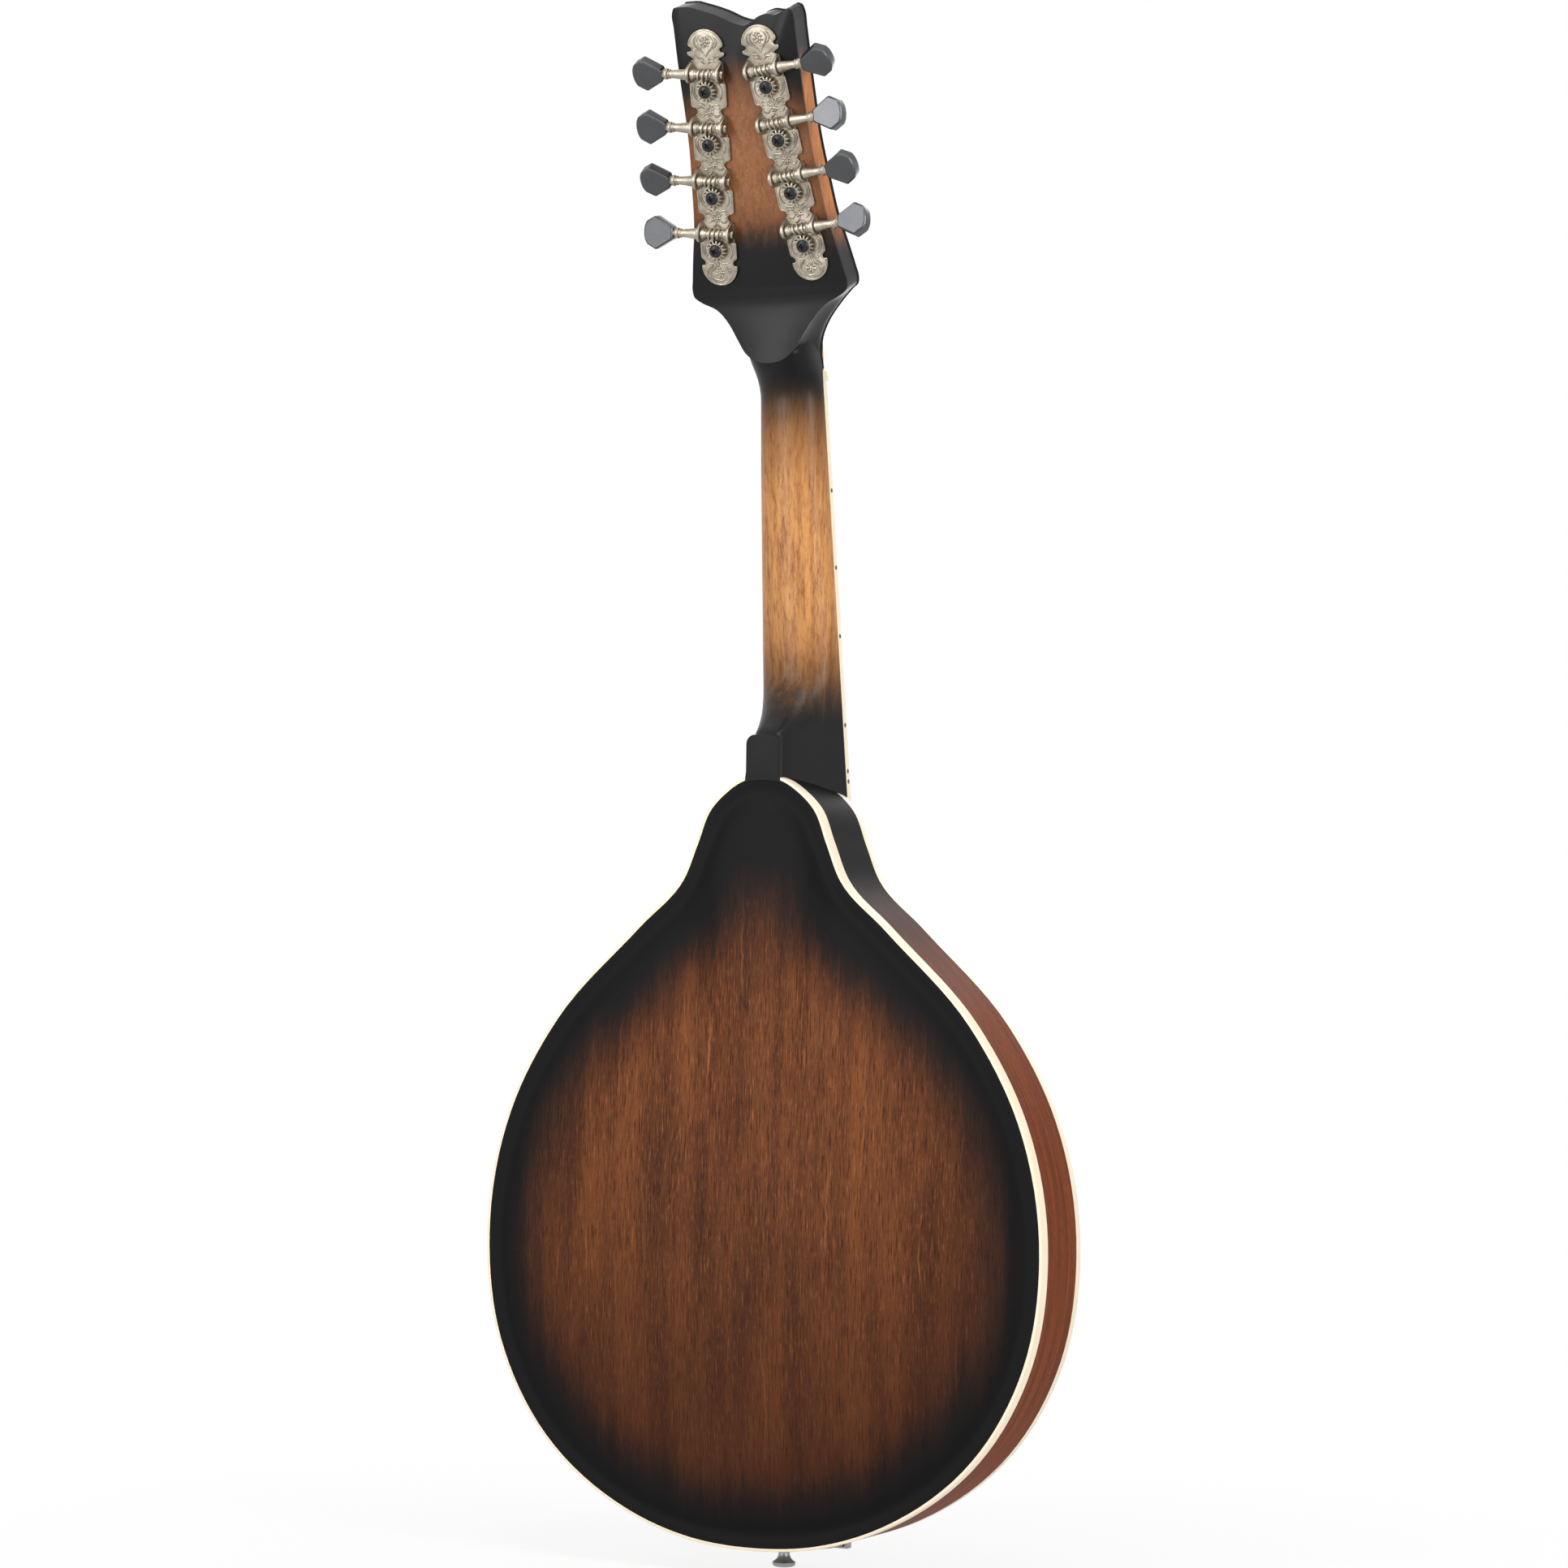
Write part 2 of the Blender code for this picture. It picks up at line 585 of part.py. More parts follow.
def build_neck():
    """The neck with its headstock and heel in one piece, and the truss rod in its channel."""
    levels = [NECK_END - 12, NECK_END, (NECK_END + HEEL_FULL - 1) / 2]
    levels += [HEEL_FULL + (HEEL_START - HEEL_FULL) * k / 29 for k in (0, 3, 7, 12, 18, 25)]
    middle = HEEL_START + 6
    while middle < NUT_POINT.z - 30:
        levels.append(middle)
        middle += 39
    levels += [NUT_POINT.z + step for step in (-24, -12, -1, 3, 6, 9, 13, 20, 27)]
    bm = bmesh.new()
    add_loft(bm, [neck_section(z) for z in levels])
    neck = make_object("neck", bm, WOOD_NECK, smooth=40)
    rings = []
    deepest = HEAD_REAR + TONGUE_SWEEP[-1][1]
    for level, lower in ((HEAD_FACE, HEAD_FLARE), (HEAD_FACE + FLARE_THICK, HEAD_FLARE),
                         (HEAD_FACE + FLARE_THICK + FLARE_TAPER, TONGUE), (deepest, TONGUE)):
        rings.append([head_place(x, up, level) for x, up in head_outline(lower)])
    bm = bmesh.new()
    add_loft(bm, rings)
    fuse(neck, make_object("head_shape", bm, WOOD_NECK))
    tip = max(up for x, up in HEAD_EDGE) + 10
    sweep = [(tip, HEAD_REAR)] + [(up, HEAD_REAR + back) for up, back in TONGUE_SWEEP]
    sweep += [(TONGUE_SWEEP[-1][0], deepest + 20), (tip, deepest + 20)]
    wide = max(x for x, up in HEAD_EDGE) + 10
    cut(neck, prism("behind_headstock", sweep, lambda up, back, x: head_place(x, up, back), -wide, wide, WOOD_NECK))
    posts = [post_place(side, index) for side in (-1, 1) for index in range(TUNERS_A_SIDE)]
    cut(neck, rod_cutter("post_holes", posts, HEAD_BACK, Vector((1, 0, 0)), POST_RADIUS + GAP,
                         HEAD_FACE - 5, HEAD_REAR + 5))
    rod_half = ROD_WIDE / 2
    channel = [(-rod_half - GAP, ROD_START - GAP), (rod_half + GAP, ROD_START - GAP),
               (rod_half + GAP, ROD_STOP + GAP), (-rod_half - GAP, ROD_STOP + GAP)]
    cut(neck, prism("rod_channel", channel, neck_place, SEAT - 1, SEAT + ROD_TALL + 2 * GAP, WOOD_NECK))
    space = inset_outline(BODY, -GAP)
    cut(neck, prism("body_space", space, body_place, FRONT - 20, 20, WOOD_NECK))
    bar = [(-rod_half, ROD_START), (rod_half, ROD_START), (rod_half, ROD_STOP), (-rod_half, ROD_STOP)]
    prism("truss_rod", bar, neck_place, SEAT + GAP, SEAT + GAP + ROD_TALL, STEEL)
    cap_base = PLATE_EDGE[0][1] + GAP
    arc = [math.pi * k / 8 for k in range(9)]
    corner = CAP_HALF * 0.45
    crown = [(CAP_HALF * math.cos(t), HEEL_FULL - corner + corner * math.sin(t)) for t in arc]
    cap = [(-CAP_HALF, cap_base), (CAP_HALF, cap_base)] + crown
    prism("heel_cap", cap, body_place, -CAP_THICK, CAP_PROUD, BLACK)


ROD_START = NUT_LONG + 3.0
ROD_STOP = JOINT_ALONG - 25.0


def build_fingerboard():
    """Fingerboard with its frets, its binding round three sides, and the nut."""
    inner = FB_BINDING + GAP
    stop = BOARD_ALONG
    slab = [(board_half(GAP) - inner, GAP), (board_half(stop) - inner, stop - inner),
            (-board_half(stop) + inner, stop - inner), (-board_half(GAP) + inner, GAP)]
    board = prism("fingerboard", slab, neck_place, 0, FINGERBOARD_THICK, ROSEWOOD)
    bm = bmesh.new()
    for number in range(1, FRETS + 1):
        place = fret_place(number)
        half = board_half(place) - inner - 0.2
        bar = [(half, place - FRET_WIDE / 2), (half, place + FRET_WIDE / 2),
               (-half, place + FRET_WIDE / 2), (-half, place - FRET_WIDE / 2)]
        add_prism(bm, bar, neck_place, -FRET_TALL, 1.0)
    fuse(board, make_object("fret_bars", bm, STEEL))
    strip = [(board_half(GAP), GAP), (board_half(stop), stop), (-board_half(stop), stop),
             (-board_half(GAP), GAP), (-board_half(GAP) + FB_BINDING, GAP),
             (-board_half(stop) + FB_BINDING, stop - FB_BINDING),
             (board_half(stop) - FB_BINDING, stop - FB_BINDING), (board_half(GAP) - FB_BINDING, GAP)]
    prism("fingerboard_binding", strip, neck_place, 0, FINGERBOARD_THICK, CREAM)
    side = [(0, FINGERBOARD_THICK), (0, -NUT_TALL), (-1.2, -NUT_TALL), (-NUT_LONG, -NUT_TALL + 1.2),
            (-NUT_LONG, FINGERBOARD_THICK)]
    half = NUT_HALF - 0.1
    prism("nut", side, lambda along, back, x: neck_place(x, along, back), -half, half, BONE)


def build_overlay():
    """The headstock's face veneer and the truss rod cover."""
    lower = [(14.1, OVERLAY_START)] + HEAD_FLARE[2:]
    overlay = prism("headstock_overlay", head_outline(lower), head_place, OVERLAY_FACE,
                    OVERLAY_FACE + OVERLAY_THICK, BLACK)
    posts = [post_place(side, index) for side in (-1, 1) for index in range(TUNERS_A_SIDE)]
    cut(overlay, rod_cutter("overlay_holes", posts, HEAD_BACK, Vector((1, 0, 0)), POST_RADIUS + GAP,
                            OVERLAY_FACE - 5, HEAD_FACE + 5))
    low = OVERLAY_START + 1.2
    bell = [(-8.0, low), (8.0, low), (8.6, low + 8), (6.0, low + 18), (3.2, low + 25), (0.0, low + 28),
            (-3.2, low + 25), (-6.0, low + 18), (-8.6, low + 8)]
    prism("truss_rod_cover", bell, head_place, OVERLAY_FACE - GAP - 1.6, OVERLAY_FACE - GAP, BLACK)


OVERLAY_START = 6.2


# Tuners

def post_place(side, index):
    """Where a post's axis crosses the nut's front level; index 0 is nearest the tip."""
    run = index * TUNER_PITCH
    return head_place(side * (TOP_POST[0] + run * math.sin(TUNER_SPLAY)),
                      TOP_POST[1] - run * math.cos(TUNER_SPLAY), 0)


def plate_axes(side):
    """Directions outwards and up a plate, which both lie in the headstock's plane."""
    along = Vector((-side * math.sin(TUNER_SPLAY), 0, 0)) + HEAD_UP * math.cos(TUNER_SPLAY)
    outward = Vector((side * math.cos(TUNER_SPLAY), 0, 0)) + HEAD_UP * math.sin(TUNER_SPLAY)
    return outward, along


def plate_outline():
    """A plate's outline: lobed ends with notches, and for each tuner a folded seat, a square and a waist."""
    fold = EAR_IN + EAR_METAL + FOLD_LIP
    end = [(8.3 * math.sin(t), 19.5 + 6.3 * math.cos(t)) for t in (math.pi * k / 12 for k in range(1, 7))]
    side = end + [(6.7, 18.4), (6.7, 17.2), (8.3, 16.4), (8.3, 15.2), (fold, 13.0)]
    for index in range(TUNERS_A_SIDE):
        down = -index * TUNER_PITCH
        under = down - TUNER_PITCH + 12.9
        side += [(fold, down + 12.4), (fold, down + 3.7), (8.3, down + 2.9)]
        if index < TUNERS_A_SIDE - 1:
            side += [(8.3, under + 3.0), (7.4, under + 2.2), (5.3, under + 1.8), (5.3, under)]
    down = -(TUNERS_A_SIDE - 1) * TUNER_PITCH
    side += [(8.3, down - 4.6), (6.7, down - 5.6), (6.7, down - 6.8)]
    side += [(8.3 * math.sin(t), down - 7.8 - 6.8 * math.cos(math.pi - t))
             for t in (math.pi / 2 + math.pi * k / 12 for k in range(0, 6))]
    tip, tail = (0.0, 25.8), (0.0, down - 14.6)
    return [tip] + side + [tail] + [(-u, v) for u, v in reversed(side)]


def ear_shape(bm, base, outward, along, low, high):
    """One folded ear round a hole for the worm's shaft, standing across the shaft."""
    outer, inner = [], []
    count = 8
    for k in range(count):
        turn = 2 * math.pi * (k + 0.5) / count
        c, s = math.cos(turn), math.sin(turn)
        inner.append(((WORM_CORE + GAP) * c, (WORM_CORE + GAP) * s))
        if s < 0:
            outer.append((4.0 * c if c < 0 else 5.2 * c, -WORM_RISE - PLATE_METAL / 2))
        else:
            outer.append((EAR_RADIUS * c, EAR_RADIUS * s))
    rings = []
    for level, shape in ((low, outer), (high, outer), (high, inner), (low, inner)):
        rings.append([base + outward * level + along * v + HEAD_BACK * n for v, n in shape])
    add_loft(bm, rings + [rings[0]], closed_ends=False)


def build_plate(side, name):
    """One plate of four, with its eight ears and four post holes."""
    outward, along = plate_axes(side)
    first = post_place(side, 0)

    def place(u, v, n):
        return first + outward * u + along * v + HEAD_BACK * n

    plate = prism(name, plate_outline(), place, PLATE_LOW, PLATE_HIGH, NICKEL)
    bm = bmesh.new()
    for index in range(TUNERS_A_SIDE):
        base = place(0, WORM_UP - index * TUNER_PITCH, WORM_LEVEL)
        for low in (EAR_IN, -EAR_IN - EAR_METAL):
            ear_shape(bm, base, outward, along, low, low + EAR_METAL)
    fuse(plate, make_object(name + "_ears", bm, NICKEL))
    posts = [post_place(side, index) for index in range(TUNERS_A_SIDE)]
    cut(plate, rod_cutter(name + "_holes", posts, HEAD_BACK, outward, POST_RADIUS + GAP,
                          HEAD_FACE, GEAR_LOW + 1))


def button_outline():
    """A tuner button from its stem outwards: a fan with cut corners and a full end."""
    upper = [(0, 2.6), (4.2, 6.6), (8.6, 7.6), (12.2, 5.0), (BUTTON_LONG, 1.8)]
    return upper + [(u, -v) for u, v in reversed(upper)]


def build_tuner(side, index, label):
    """One tuner: the string post with its gear and screw, the worm's shaft and the button."""
    outward, along = plate_axes(side)
    post = post_place(side, index)
    front = OVERLAY_FACE - POST_PROUD
    middle = OVERLAY_FACE - POST_PROUD / 2
    profile = [(front, 2.6), (middle - 1.6, 2.8), (middle - 0.8, POST_WAIST),
               (middle + 0.8, POST_WAIST), (middle + 1.6, POST_RADIUS), (GEAR_HIGH, POST_RADIUS),
               (GEAR_HIGH + SCREW_TALL, SCREW_RADIUS * 0.8)]
    piece = turned("gear_post_" + label, profile, post, HEAD_BACK, outward, NICKEL, pivot=post, count=10)
    teeth = []
    for k in range(2 * GEAR_TEETH):
        turn = math.pi * (k + 0.5) / GEAR_TEETH
        radius = GEAR_TIP if k % 2 else GEAR_ROOT
        teeth.append((radius * math.cos(turn), radius * math.sin(turn)))
    gear = prism("gear_teeth_" + label, teeth, lambda u, v, n: post + outward * u + along * v + HEAD_BACK * n,
                 GEAR_LOW, GEAR_HIGH - 0.2, NICKEL, pivot=post)
    fuse(piece, gear)

    axis_point = post + along * WORM_UP + HEAD_BACK * WORM_LEVEL
    outer = EAR_IN + EAR_METAL + GAP
    shaft = [(-outer - 1.2, 1.7), (-outer, 2.1), (-outer, WORM_CORE)]
    for k in range(3):
        middle = 2.4 * (k - 1)
        shaft += [(middle - 1.0, WORM_CORE), (middle, WORM_RADIUS), (middle + 1.0, WORM_CORE)]
    shaft += [(outer, WORM_CORE), (outer, 2.6), (outer + 1.4, SHAFT_RADIUS),
              (SHAFT_END - 2.6, SHAFT_RADIUS * 0.86), (SHAFT_END - 2.6, 2.6), (SHAFT_END, 2.5)]
    turned("worm_shaft_" + label, shaft, axis_point, outward, along, NICKEL, pivot=axis_point, count=8)

    number = index + (TUNERS_A_SIDE if side > 0 else 0)
    turn = math.radians(BUTTON_TURNS[number])
    wide = along * math.cos(turn) + HEAD_BACK * math.sin(turn)
    thick = outward.cross(wide)

    def place(u, v, n):
        return axis_point + outward * (SHAFT_END + GAP + u) + wide * v + thick * n

    bm = bmesh.new()
    flat = button_outline()
    rings = []
    for level, shrink in ((-BUTTON_THICK / 2, 0.8), (-BUTTON_THICK / 2 + 1.4, 1.0),
                          (BUTTON_THICK / 2 - 1.4, 1.0), (BUTTON_THICK / 2, 0.8)):
        rings.append([place(BUTTON_LONG * 0.5 + (u - BUTTON_LONG * 0.5) * shrink, v * shrink, level)
                      for u, v in flat])
    add_loft(bm, rings)
    make_object("tuner_button_" + label, bm, CHROME, pivot=axis_point)


def build_tuners():
    """Both plates and all eight tuners."""
    for side, name in ((-1, "bass"), (1, "treble")):
        build_plate(side, "tuner_plate_" + name)
        for index in range(TUNERS_A_SIDE):
            build_tuner(side, index, f"{name}_{index + 1}")


# Bridge, strings and tailpiece

BRIDGE = neck_place(0, SCALE + BRIDGE_BACK, -STRING_RISE)


def top_level(x, z):
    """y of the top's outer face."""
    return FRONT - arch_at(x, z, TOP_ARCH, OUTER_RINGS)


def build_bridge():
    """The base with its two studs, the two thumbwheels and the saddle."""
    base_low = top_level(0, BRIDGE.z) - GAP
    saddle_face = BRIDGE.y + max(STRING_RADII) + GAP
    saddle_rear = saddle_face + SADDLE_TALL
    wheel_rear = saddle_rear + GAP + WHEEL_THICK
    base_front = wheel_rear + GAP + SADDLE_TRAVEL
    rings = []
    for k in range(13):
        x = BASE_HALF * (k / 6 - 1)
        rest = min(top_level(x, BRIDGE.z + way * BASE_WIDE / 2) for way in (-1, 0, 1)) - GAP
        share = abs(x) / BASE_HALF
        face = base_front if share < 0.55 else base_front + (rest - 2.6 - base_front) * (share - 0.55) / 0.45
        wide = BASE_WIDE / 2 * (1 - 0.3 * share)
        face = min(face, rest - 1.5)
        rings.append([Vector((x, rest, BRIDGE.z - wide)), Vector((x, rest, BRIDGE.z + wide)),
                      Vector((x, face, BRIDGE.z + wide * 0.8)), Vector((x, face, BRIDGE.z - wide * 0.8))])
    bm = bmesh.new()
    add_loft(bm, rings)
    base = make_object("bridge_base", bm, ROSEWOOD)
    stud_reach = saddle_rear - SADDLE_TALL * 0.45
    studs = [Vector((side * STUD_AT, 0, BRIDGE.z)) for side in (-1, 1)]
    bm = bmesh.new()
    for stud in studs:
        add_turned(bm, [(stud_reach, STUD_RADIUS), (base_front + 2.0, STUD_RADIUS)], stud,
                   Vector((0, 1, 0)), Vector((1, 0, 0)), 10)
    fuse(base, make_object("bridge_studs", bm, BRASS))

    half = SADDLE_WIDE / 2
    crown = []
    for k in range(9):
        x = SADDLE_HALF * (k / 4 - 1)
        face = saddle_face + (1.2 if abs(x) > SADDLE_HALF - 4 else 0.0)
        crown.append([Vector((x, saddle_rear, BRIDGE.z - half)), Vector((x, saddle_rear, BRIDGE.z + half)),
                      Vector((x, face + 2.4, BRIDGE.z + half)), Vector((x, face, BRIDGE.z + 0.8)),
                      Vector((x, face, BRIDGE.z - 0.8)), Vector((x, face + 2.4, BRIDGE.z - half))])
    bm = bmesh.new()
    add_loft(bm, crown)
    saddle = make_object("bridge_saddle", bm, ROSEWOOD)
    hole = stud_reach - SADDLE_TRAVEL - GAP
    cut(saddle, rod_cutter("saddle_holes", studs, Vector((0, 1, 0)), Vector((1, 0, 0)), STUD_RADIUS + GAP,
                           hole, saddle_rear + 2))
    for side, name in ((-1, "bass"), (1, "treble")):
        centre = Vector((side * STUD_AT, saddle_rear + GAP, BRIDGE.z))
        profile = [(0, WHEEL_RADIUS - 0.5), (0.5, WHEEL_RADIUS), (WHEEL_THICK - 0.5, WHEEL_RADIUS),
                   (WHEEL_THICK, WHEEL_RADIUS - 0.5)]
        wheel = turned("thumbwheel_" + name, profile, centre, Vector((0, 1, 0)), Vector((1, 0, 0)), BRASS,
                       pivot=centre, count=24)
        cut(wheel, rod_cutter("wheel_bore_" + name, [centre], Vector((0, 1, 0)), Vector((1, 0, 0)),
                              STUD_RADIUS + GAP, -2, WHEEL_THICK + 2))


TAIL_FOOT = TAIL_END - GAP          # inner face of the tailpiece's end plate
TAIL_LOW = TAIL_FOOT - TAIL_METAL
TAIL_BEND = FRONT - GAP - 3.4       # front face of the tailpiece at its bend
TAIL_SLOPE = TAIL_RISE / (TAIL_END + TAIL_LONG - TAIL_LOW)
HOOK_Z = TAIL_END + TAIL_LONG - 6.0


def tail_front(z, over=0.0):
    """y of a plane parallel to the tailpiece's sloping front face, so far in front of it."""
    return TAIL_BEND - TAIL_SLOPE * (z - TAIL_LOW) - over


HOOK_Y = tail_front(HOOK_Z, HOOK_OVER)


def string_x(number, spread=1.0):
    """Sideways place of a string, number 0 being the outer bass string."""
    return (PAIR_CENTRES[number // 2] + PAIR_SPLIT * (1 if number % 2 else -1)) * spread


def build_strings():
    """Eight strings from the tailpiece's hooks over the saddle and nut to their posts."""
    for number, radius in enumerate(STRING_RADII):
        side = -1 if number < 4 else 1
        rank = number if number < 4 else 7 - number
        index = TUNERS_A_SIDE - 1 - rank
        x_nut, x_tail = string_x(number), string_x(number, TAIL_SPREAD)
        reach = POST_WAIST + GAP + radius
        post = post_place(side, index)
        end = post - Vector((side * reach, 0, 0)) + HEAD_BACK * (OVERLAY_FACE - POST_PROUD / 2)
        lift = FRET_TALL + STRING_LIFT + radius
        saddle = Vector((x_tail, BRIDGE.y + max(STRING_RADII) - radius, BRIDGE.z))
        points = [Vector((x_tail, HOOK_Y, HOOK_Z)), saddle, neck_place(x_nut, -1.0, -lift), end]
        curve = bpy.data.curves.new("string_%d" % (number + 1), "CURVE")
        curve.dimensions = "3D"
        curve.bevel_depth = radius * MM
        curve.bevel_resolution = 1
        curve.use_fill_caps = True
        line = curve.splines.new("POLY")
        line.points.add(len(points) - 1)
        for spot, point in zip(line.points, points):
            spot.co = (*((point - ORIGIN) * MM), 1.0)
        curve.materials.append(STEEL if number > 3 else BRASS)
        made = bpy.data.objects.new("string_%d" % (number + 1), curve)
        bpy.context.scene.collection.objects.link(made)


def across_place(y, z, x):
    """A point by its place in the body's middle plane and its distance sideways."""
    return Vector((x, y, z))


def build_tail():
    """The bent tailpiece, its sliding cover and the strap button."""
    tip = TAIL_END + TAIL_LONG
    side = [(TAIL_BEND + TAIL_METAL + 1.5, TAIL_FOOT), (TAIL_BEND + TAIL_METAL + 1.5, TAIL_LOW),
            (TAIL_BEND, TAIL_LOW), (tail_front(tip), tip), (tail_front(tip, -TAIL_METAL), tip),
            (tail_front(TAIL_FOOT + 1.0, -TAIL_METAL), TAIL_FOOT + 1.0)]
    tail = prism("tailpiece", side, across_place, -TAIL_HALF, TAIL_HALF, NICKEL)
    edge = TAIL_BEND + TAIL_METAL + 0.5
    flap = [(TAIL_HALF - 0.5, edge), (TAIL_HALF - 0.5, edge + 9), (9.0, TAIL_BACK - 4), (5.0, TAIL_BACK)]
    flap += [(-x, y) for x, y in reversed(flap)]
    fuse(tail, prism("tail_flap", flap, lambda x, y, z: Vector((x, y, z)), TAIL_LOW + 0.1, TAIL_FOOT - 0.1, NICKEL))
    bm = bmesh.new()
    for number in range(8):
        x = string_x(number, TAIL_SPREAD)
        hook = [(x - 0.8, HOOK_Z - 3.6), (x + 0.8, HOOK_Z - 3.6), (x + 0.8, HOOK_Z - 1.0), (x - 0.8, HOOK_Z - 1.0)]
        add_prism(bm, hook, body_place, HOOK_Y - 0.6, tail_front(HOOK_Z - 3.6, -0.6))
    fuse(tail, make_object("string_hooks", bm, NICKEL))
    down = Vector((0, 0, -1))
    cut(tail, rod_cutter("tail_pin_hole", [Vector((0, PIN_LINE, TAIL_FOOT))], down, Vector((1, 0, 0)),
                         PIN_RADIUS + GAP, -2, 4))

    inside = TAIL_HALF + GAP
    outside = inside + COVER_METAL
    inner = HOOK_OVER + 0.6 + COVER_OVER
    grip = -TAIL_METAL / 2
    rings = []
    low = TAIL_LOW - COVER_BELOW
    for z in (low, low + COVER_LONG):
        section = [(outside, grip), (outside, inner + COVER_METAL - 1.5), (outside - 2, inner + COVER_METAL)]
        section += [(-x, over) for x, over in reversed(section)]
        hollow = [(inside, grip), (inside, inner - 1.5), (inside - 2, inner)]
        section += [(-x, over) for x, over in hollow] + [(x, over) for x, over in reversed(hollow)]
        rings.append([Vector((x, tail_front(z, over), z)) for x, over in section])
    bm = bmesh.new()
    add_loft(bm, rings)
    pivot = Vector((0, tail_front(low, inner), low))
    cover = make_object("tailpiece_cover", bm, CHROME, pivot=pivot)
    wall = [(outside, 1.0), (outside, inner + COVER_METAL - 1.5), (outside - 2, inner + COVER_METAL)]
    wall += [(-x, over) for x, over in reversed(wall)]
    rings = [[Vector((x * 0.998, tail_front(low, over * 0.998), z)) for x, over in wall]
             for z in (low - COVER_METAL, low + 0.2)]
    bm = bmesh.new()
    add_loft(bm, rings)
    fuse(cover, make_object("cover_end", bm, CHROME))

    start = -TAIL_LOW + GAP
    centre = Vector((0, PIN_LINE, 0))
    profile = [(-TAIL_END - BLOCK_DEEP / 3, PIN_RADIUS), (start, PIN_RADIUS), (start, 3.2), (start + 0.8, 2.6),
               (start + 3.4, 2.5), (start + STRAP_LONG - 2.4, BUTTON_END_RADIUS - 1.1),
               (start + STRAP_LONG - 1.4, BUTTON_END_RADIUS), (start + STRAP_LONG - 0.5, BUTTON_END_RADIUS - 0.1),
               (start + STRAP_LONG, BUTTON_END_RADIUS - 1.0)]
    turned("strap_button", profile, centre, down, Vector((1, 0, 0)), CHROME, count=ROUND)


clear_scene()
WOOD_PLAIN = material("plain_wood", (0.62, 0.45, 0.27), 0.6)
WOOD_BURST = material("burst_wood", (0.10, 0.045, 0.02), 0.45)
WOOD_SIDE = material("side_wood", (0.22, 0.08, 0.03), 0.45)
WOOD_NECK = material("neck_wood", (0.45, 0.22, 0.09), 0.45)
ROSEWOOD = material("rosewood", (0.06, 0.03, 0.02), 0.5)
CREAM = material("cream_binding", (0.90, 0.84, 0.68), 0.4)
BONE = material("bone", (0.88, 0.85, 0.65), 0.4)
BLACK = material("black_veneer", (0.015, 0.015, 0.016), 0.4)
NICKEL = material("nickel", (0.62, 0.57, 0.48), 0.3, 1.0)
CHROME = material("satin_chrome", (0.55, 0.57, 0.60), 0.25, 1.0)
BRASS = material("brass", (0.70, 0.50, 0.22), 0.3, 1.0)
STEEL = material("steel", (0.60, 0.60, 0.60), 0.3, 1.0)

build_body()
build_neck()
build_fingerboard()
build_overlay()
build_tuners()
build_bridge()
build_strings()
build_tail()
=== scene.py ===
"""Finished pieces of an A-style mandolin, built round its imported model.

Shapes are made in millimetres, in the frame of the body, the neck, the headstock or a tuner, and
are then seated on the model. In the body's frame the back's rim lies at y = 0, the front faces -Y
and the twelfth fret is at z = 0.
"""
import json
import math
from functools import partial
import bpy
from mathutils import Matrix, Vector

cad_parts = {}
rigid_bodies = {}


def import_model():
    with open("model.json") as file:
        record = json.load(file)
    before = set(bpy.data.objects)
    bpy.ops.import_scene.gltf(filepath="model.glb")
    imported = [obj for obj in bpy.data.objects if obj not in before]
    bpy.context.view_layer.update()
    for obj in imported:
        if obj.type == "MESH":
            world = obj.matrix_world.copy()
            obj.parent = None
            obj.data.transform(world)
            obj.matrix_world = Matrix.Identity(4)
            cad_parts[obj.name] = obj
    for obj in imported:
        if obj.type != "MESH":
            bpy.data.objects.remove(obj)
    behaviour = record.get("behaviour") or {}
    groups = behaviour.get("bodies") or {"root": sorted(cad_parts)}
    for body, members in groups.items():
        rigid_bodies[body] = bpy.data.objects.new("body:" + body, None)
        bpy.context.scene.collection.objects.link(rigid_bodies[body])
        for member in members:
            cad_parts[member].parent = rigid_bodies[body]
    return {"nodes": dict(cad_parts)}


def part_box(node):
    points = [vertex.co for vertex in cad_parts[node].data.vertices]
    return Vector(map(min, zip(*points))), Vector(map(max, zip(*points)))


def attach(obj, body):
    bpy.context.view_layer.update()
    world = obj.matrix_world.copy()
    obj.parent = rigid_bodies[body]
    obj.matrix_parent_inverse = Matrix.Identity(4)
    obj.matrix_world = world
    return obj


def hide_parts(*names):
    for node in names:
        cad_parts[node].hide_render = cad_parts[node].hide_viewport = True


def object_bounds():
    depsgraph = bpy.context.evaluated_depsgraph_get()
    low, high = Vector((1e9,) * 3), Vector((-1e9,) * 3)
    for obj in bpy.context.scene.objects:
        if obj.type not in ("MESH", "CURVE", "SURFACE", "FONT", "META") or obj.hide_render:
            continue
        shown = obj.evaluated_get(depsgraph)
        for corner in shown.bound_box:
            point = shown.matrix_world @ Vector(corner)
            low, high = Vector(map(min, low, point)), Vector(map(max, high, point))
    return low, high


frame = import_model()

from types import SimpleNamespace

import bmesh
import bpy
import numpy as np
from bpy.props import FloatProperty, FloatVectorProperty, IntProperty, PointerProperty
from mathutils import Matrix, Vector

bl_info = {
    "name": "A-style mandolin",
    "version": (1, 0, 0),
    "blender": (4, 5, 0),
    "location": "View3D > Sidebar > Mandolin",
    "description": "Builds the finished pieces of an A-style mandolin round its packed model",
    "category": "Object",
}

packed_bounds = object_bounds()


# Sizes and colours

def tone(red, green, blue):
    """A colour as seen on a screen, 0 to 255, as the numbers that a shader uses."""
    made = []
    for part in (red / 255, green / 255, blue / 255):
        made.append(part / 12.92 if part <= 0.04045 else ((part + 0.055) / 1.055) ** 2.4)
    return tuple(made)


